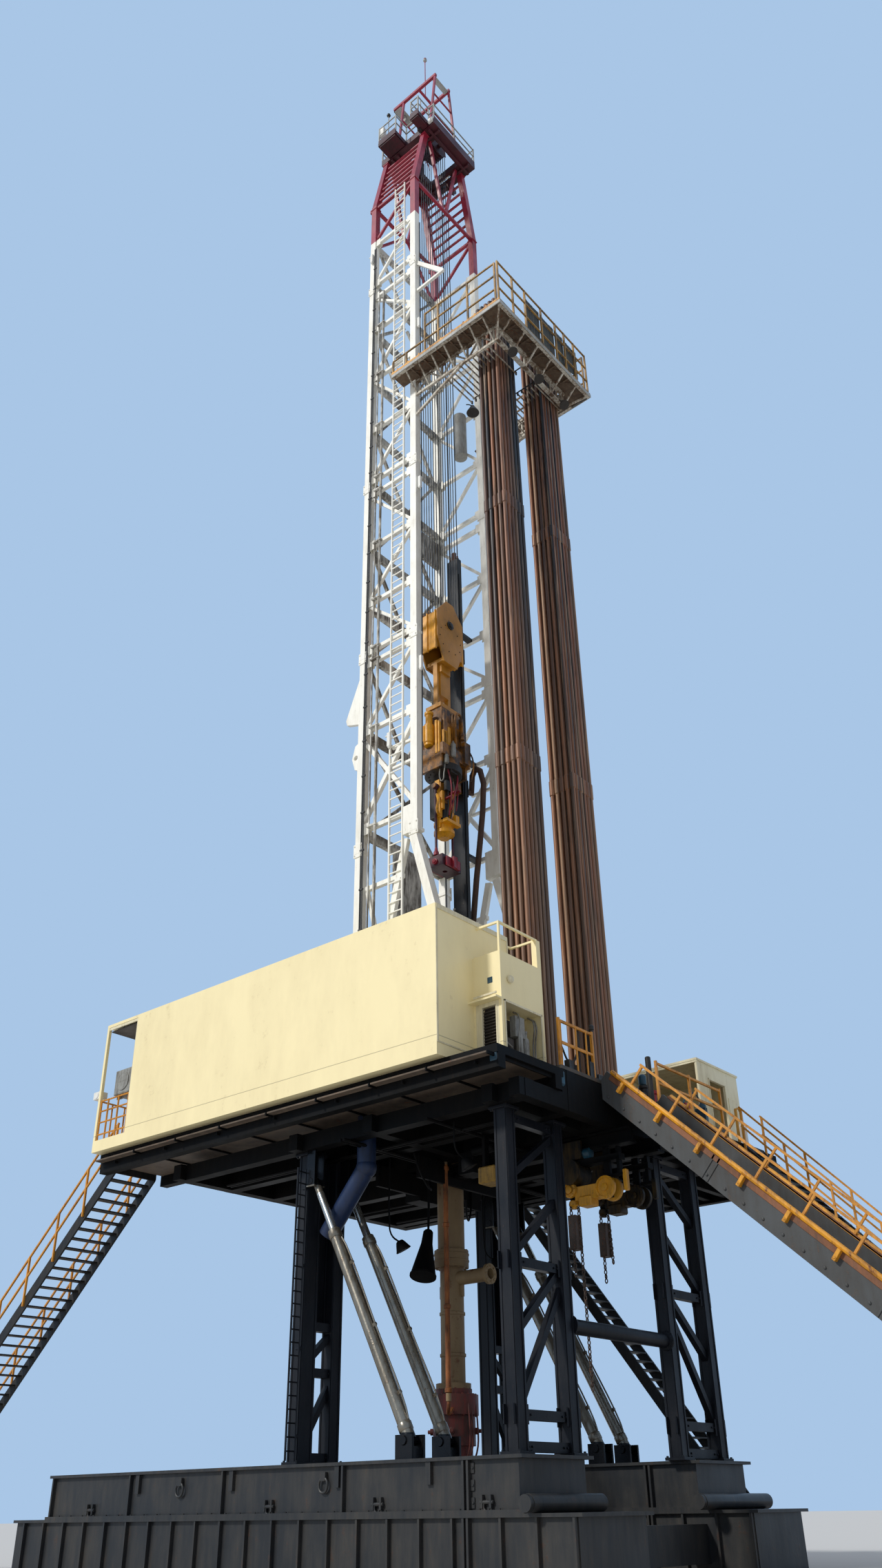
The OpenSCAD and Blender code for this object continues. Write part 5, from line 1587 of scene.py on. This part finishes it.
assemble(
    "drive_pipework", "block_yellow", drive_ochre,
    pipe(
        [
            (50, 2, 86), (50, 2, 190), (50, 8, 212), (50, 20, 218), (50, 31, 208), (50, 34, 190),
            (50, 34, 140),
        ], 9, sides=10,
    ), turned((50, 34, 128), UP, [(7, 0), (7, 5), (5.5, 5.5), (5.5, 14), (7.5, 14.5), (7.5, 19)]),
    slab((42, 36, 44), (58, 64, 122), side="+x", rim=4, depth=2),
    slab((40, -10, 40), (50, 30, 78), side="+x", rim=4, depth=1.5),
    pipe([(54, 60, 100), (62, 68, 70), (60, 72, 30), (52, 70, -5)], 5, sides=10), body="hoist",
    place=to_drive,
)
assemble(
    "drive_accumulators", "weight_grey", grey_enamel,
    turned((52, -14, 44), UP, [(6, 0), (8.5, 3), (8.5, 44), (6, 49), (3.4, 51), (3.4, 56)]),
    turned((50, -44, 10), UP, [(6, 0), (7, 2), (7, 26), (5, 29)]),
    pipe(
        [(44, -44, 12), (46, -52, -26), (40, -54, -52), (30, -52, -40), (26, -48, -4)], 4, sides=10
    ), pipe([(30, 10, -24), (34, 12, -80), (26, 16, -128)], 4, sides=10), body="hoist",
    place=to_drive,
)
assemble(
    "drive_hood", "beam_black", dark_steel,
    turned((0, 0, -4), UP, [(50, 0), (57, 2), (58, 24), (54, 27)], sides=40),
    bolt_ring((0, 0, -4), DOWN, 44, 16, head=2.4),
    turned((0, 0, -30), UP, [(24, 0), (24, 8), (30, 9), (30, 26)], sides=32),
    slab((-16, -58, 20), (30, -54, 60)), slab((36, -24, -12), (52, 6, 12), side="+x", rim=3),
    body="hoist", place=to_drive,
)


# Pipe handler: two yellow arms with a clamp ring and a stabbing guide, hung from the gearbox.
assemble(
    "pipe_handler", "block_yellow", bright_yellow, slab((-9, -31, -190), (9, -24, -24)),
    slab((-9, 24, -190), (9, 31, -24)), slab((10, 8, -176), (22, 22, 14), side="+x", rim=2.5),
    slab((10, -30, -128), (20, -20, -66), side="+x", rim=2),
    turned(
        (0, 0, -214), UP,
        [(15, 0), (26, 10), (31, 12), (31, 22), (25, 24), (25, 40), (31, 41), (31, 50)], sides=32,
    ), slab((22, -32, -176), (38, 32, -166)),
    slab((24, 12, -166), (36, 28, -140), side="+x", rim=2), body="hoist", place=to_drive,
)
assemble(
    "handler_core", "beam_black", dark_steel,
    turned((0, 0, -176), UP, [(17, 0), (17, 30), (14, 32), (14, 76)], sides=28),
    slab((20, -22, -64), (30, 10, -30), side="+x", rim=3),
    slab((-30, -30, -150), (-10, 30, -30), side="-x", rim=4),
    pipe([(24, -12, -30), (28, -12, -110), (24, -16, -164)], 4, sides=10),
    pipe([(26, 2, -60), (32, 2, -112), (28, -4, -164)], 3.5, sides=10), body="hoist",
    place=to_drive,
)


# Elevator fittings: latch and lifting eyes on the red elevator, and rubber-black inserts.
elevator_red = painted_steel(
    "red_enamel_on_elevator", "#A32436", "#5A2228", "#4A2A20", patch=0.02, rusty=0.25, rough=0.38
)
assemble(
    "elevator_fittings", "link_red", elevator_red,
    slab((26, -30, 1712), (34, 30, 1740), side="+x", rim=4),
    slab((34, -8, 1708), (42, 8, 1744), side="+x", rim=2),
    slab((-34, -30, 1712), (-26, 30, 1740), side="-x", rim=4),
    [turned((0, s * 42, 1726), (0, s, 0), [(9, 0), (9, 5), (6, 6), (6, 9)]) for s in (-1, 1)],
    [turned((0, s * 38, 1748), UP, [(8, 0), (8, 10), (5.5, 14), (4.4, 24)]) for s in (-1, 1)],
    body="links",
)


# Torque beam fittings: bolted splice plates, the rack of holes down its near edge, and the
# rusted hanger at its head. All of it is welded steel in the same greased black.
assemble(
    "beam_splices", "beam_black", beam_black,
    [
        [
            slab((-48, 90.5, z), (4, 94, z + 60)), slab((-48, 114, z), (4, 117.5, z + 60)),
            [
                turned((x, 90.5, z + dz), NEAR, [(2, 0), (2, 1.6), (1.4, 2)], sides=6)
                for x in (-42, -30, -14, -2) for dz in (8, 22, 38, 52)
            ],
        ] for z in (1500, 2010, 2520)
    ], slab((-49, 98, 1156), (-46, 110, 2900)), slab((2, 98, 1156), (5, 110, 2900)),
)
assemble(
    "beam_rack", "weight_grey", grey_enamel,
    [slab((-47.5, 91.6, z), (-39, 94, z + 7)) for z in range(1170, 1640, 14)],
)
rusted_steel = painted_steel(
    "rusted_bare_steel", "#7A4A34", "#4E3A30", "#8A4A2A", rusty=0.6, rough=0.7
)
assemble(
    "beam_hanger", "mud_brown", rusted_steel,
    slab((-44, 96, 2930), (0, 112, 2966), side="-y", rim=4),
    slab((-30, 99, 2966), (-14, 109, 3010)),
    turned((-38, 104, 2966), UP, [(5, 0), (5, 12), (3, 14), (3, 22)]),
    turned((-6, 104, 2966), UP, [(5, 0), (5, 12), (3, 14), (3, 22)]),
)


# Service lines of the drive: rigid red hydraulic pipes on standoffs from the gearbox to the
# clamps, and the bent yellow guard arm round them. They move with the drive.
assemble(
    "drive_red_lines", "link_red", elevator_red,
    pipe([(40, -30, 4), (46, -24, -30), (44, -16, -84), (30, -12, -150)], 5),
    pipe([(42, 14, 4), (48, 10, -24), (44, 2, -66), (32, -2, -128)], 4),
    pipe([(30, 28, -4), (34, 26, -60), (30, 22, -120)], 4),
    [slab((18, y - 4, z), (44, y + 4, z + 5)) for y, z in ((-14, -92), (2, -70), (26, -58))],
    body="hoist", place=to_drive,
)
assemble(
    "drive_guard_arm", "block_yellow", bright_yellow,
    pipe(
        [(6, -30, -96), (26, -62, -98), (34, -66, -122), (26, -62, -146), (6, -30, -148)], 9,
        sides=10,
    ), slab((-6, -34, -156), (14, -24, -88), side="+x", rim=2), body="hoist", place=to_drive,
)
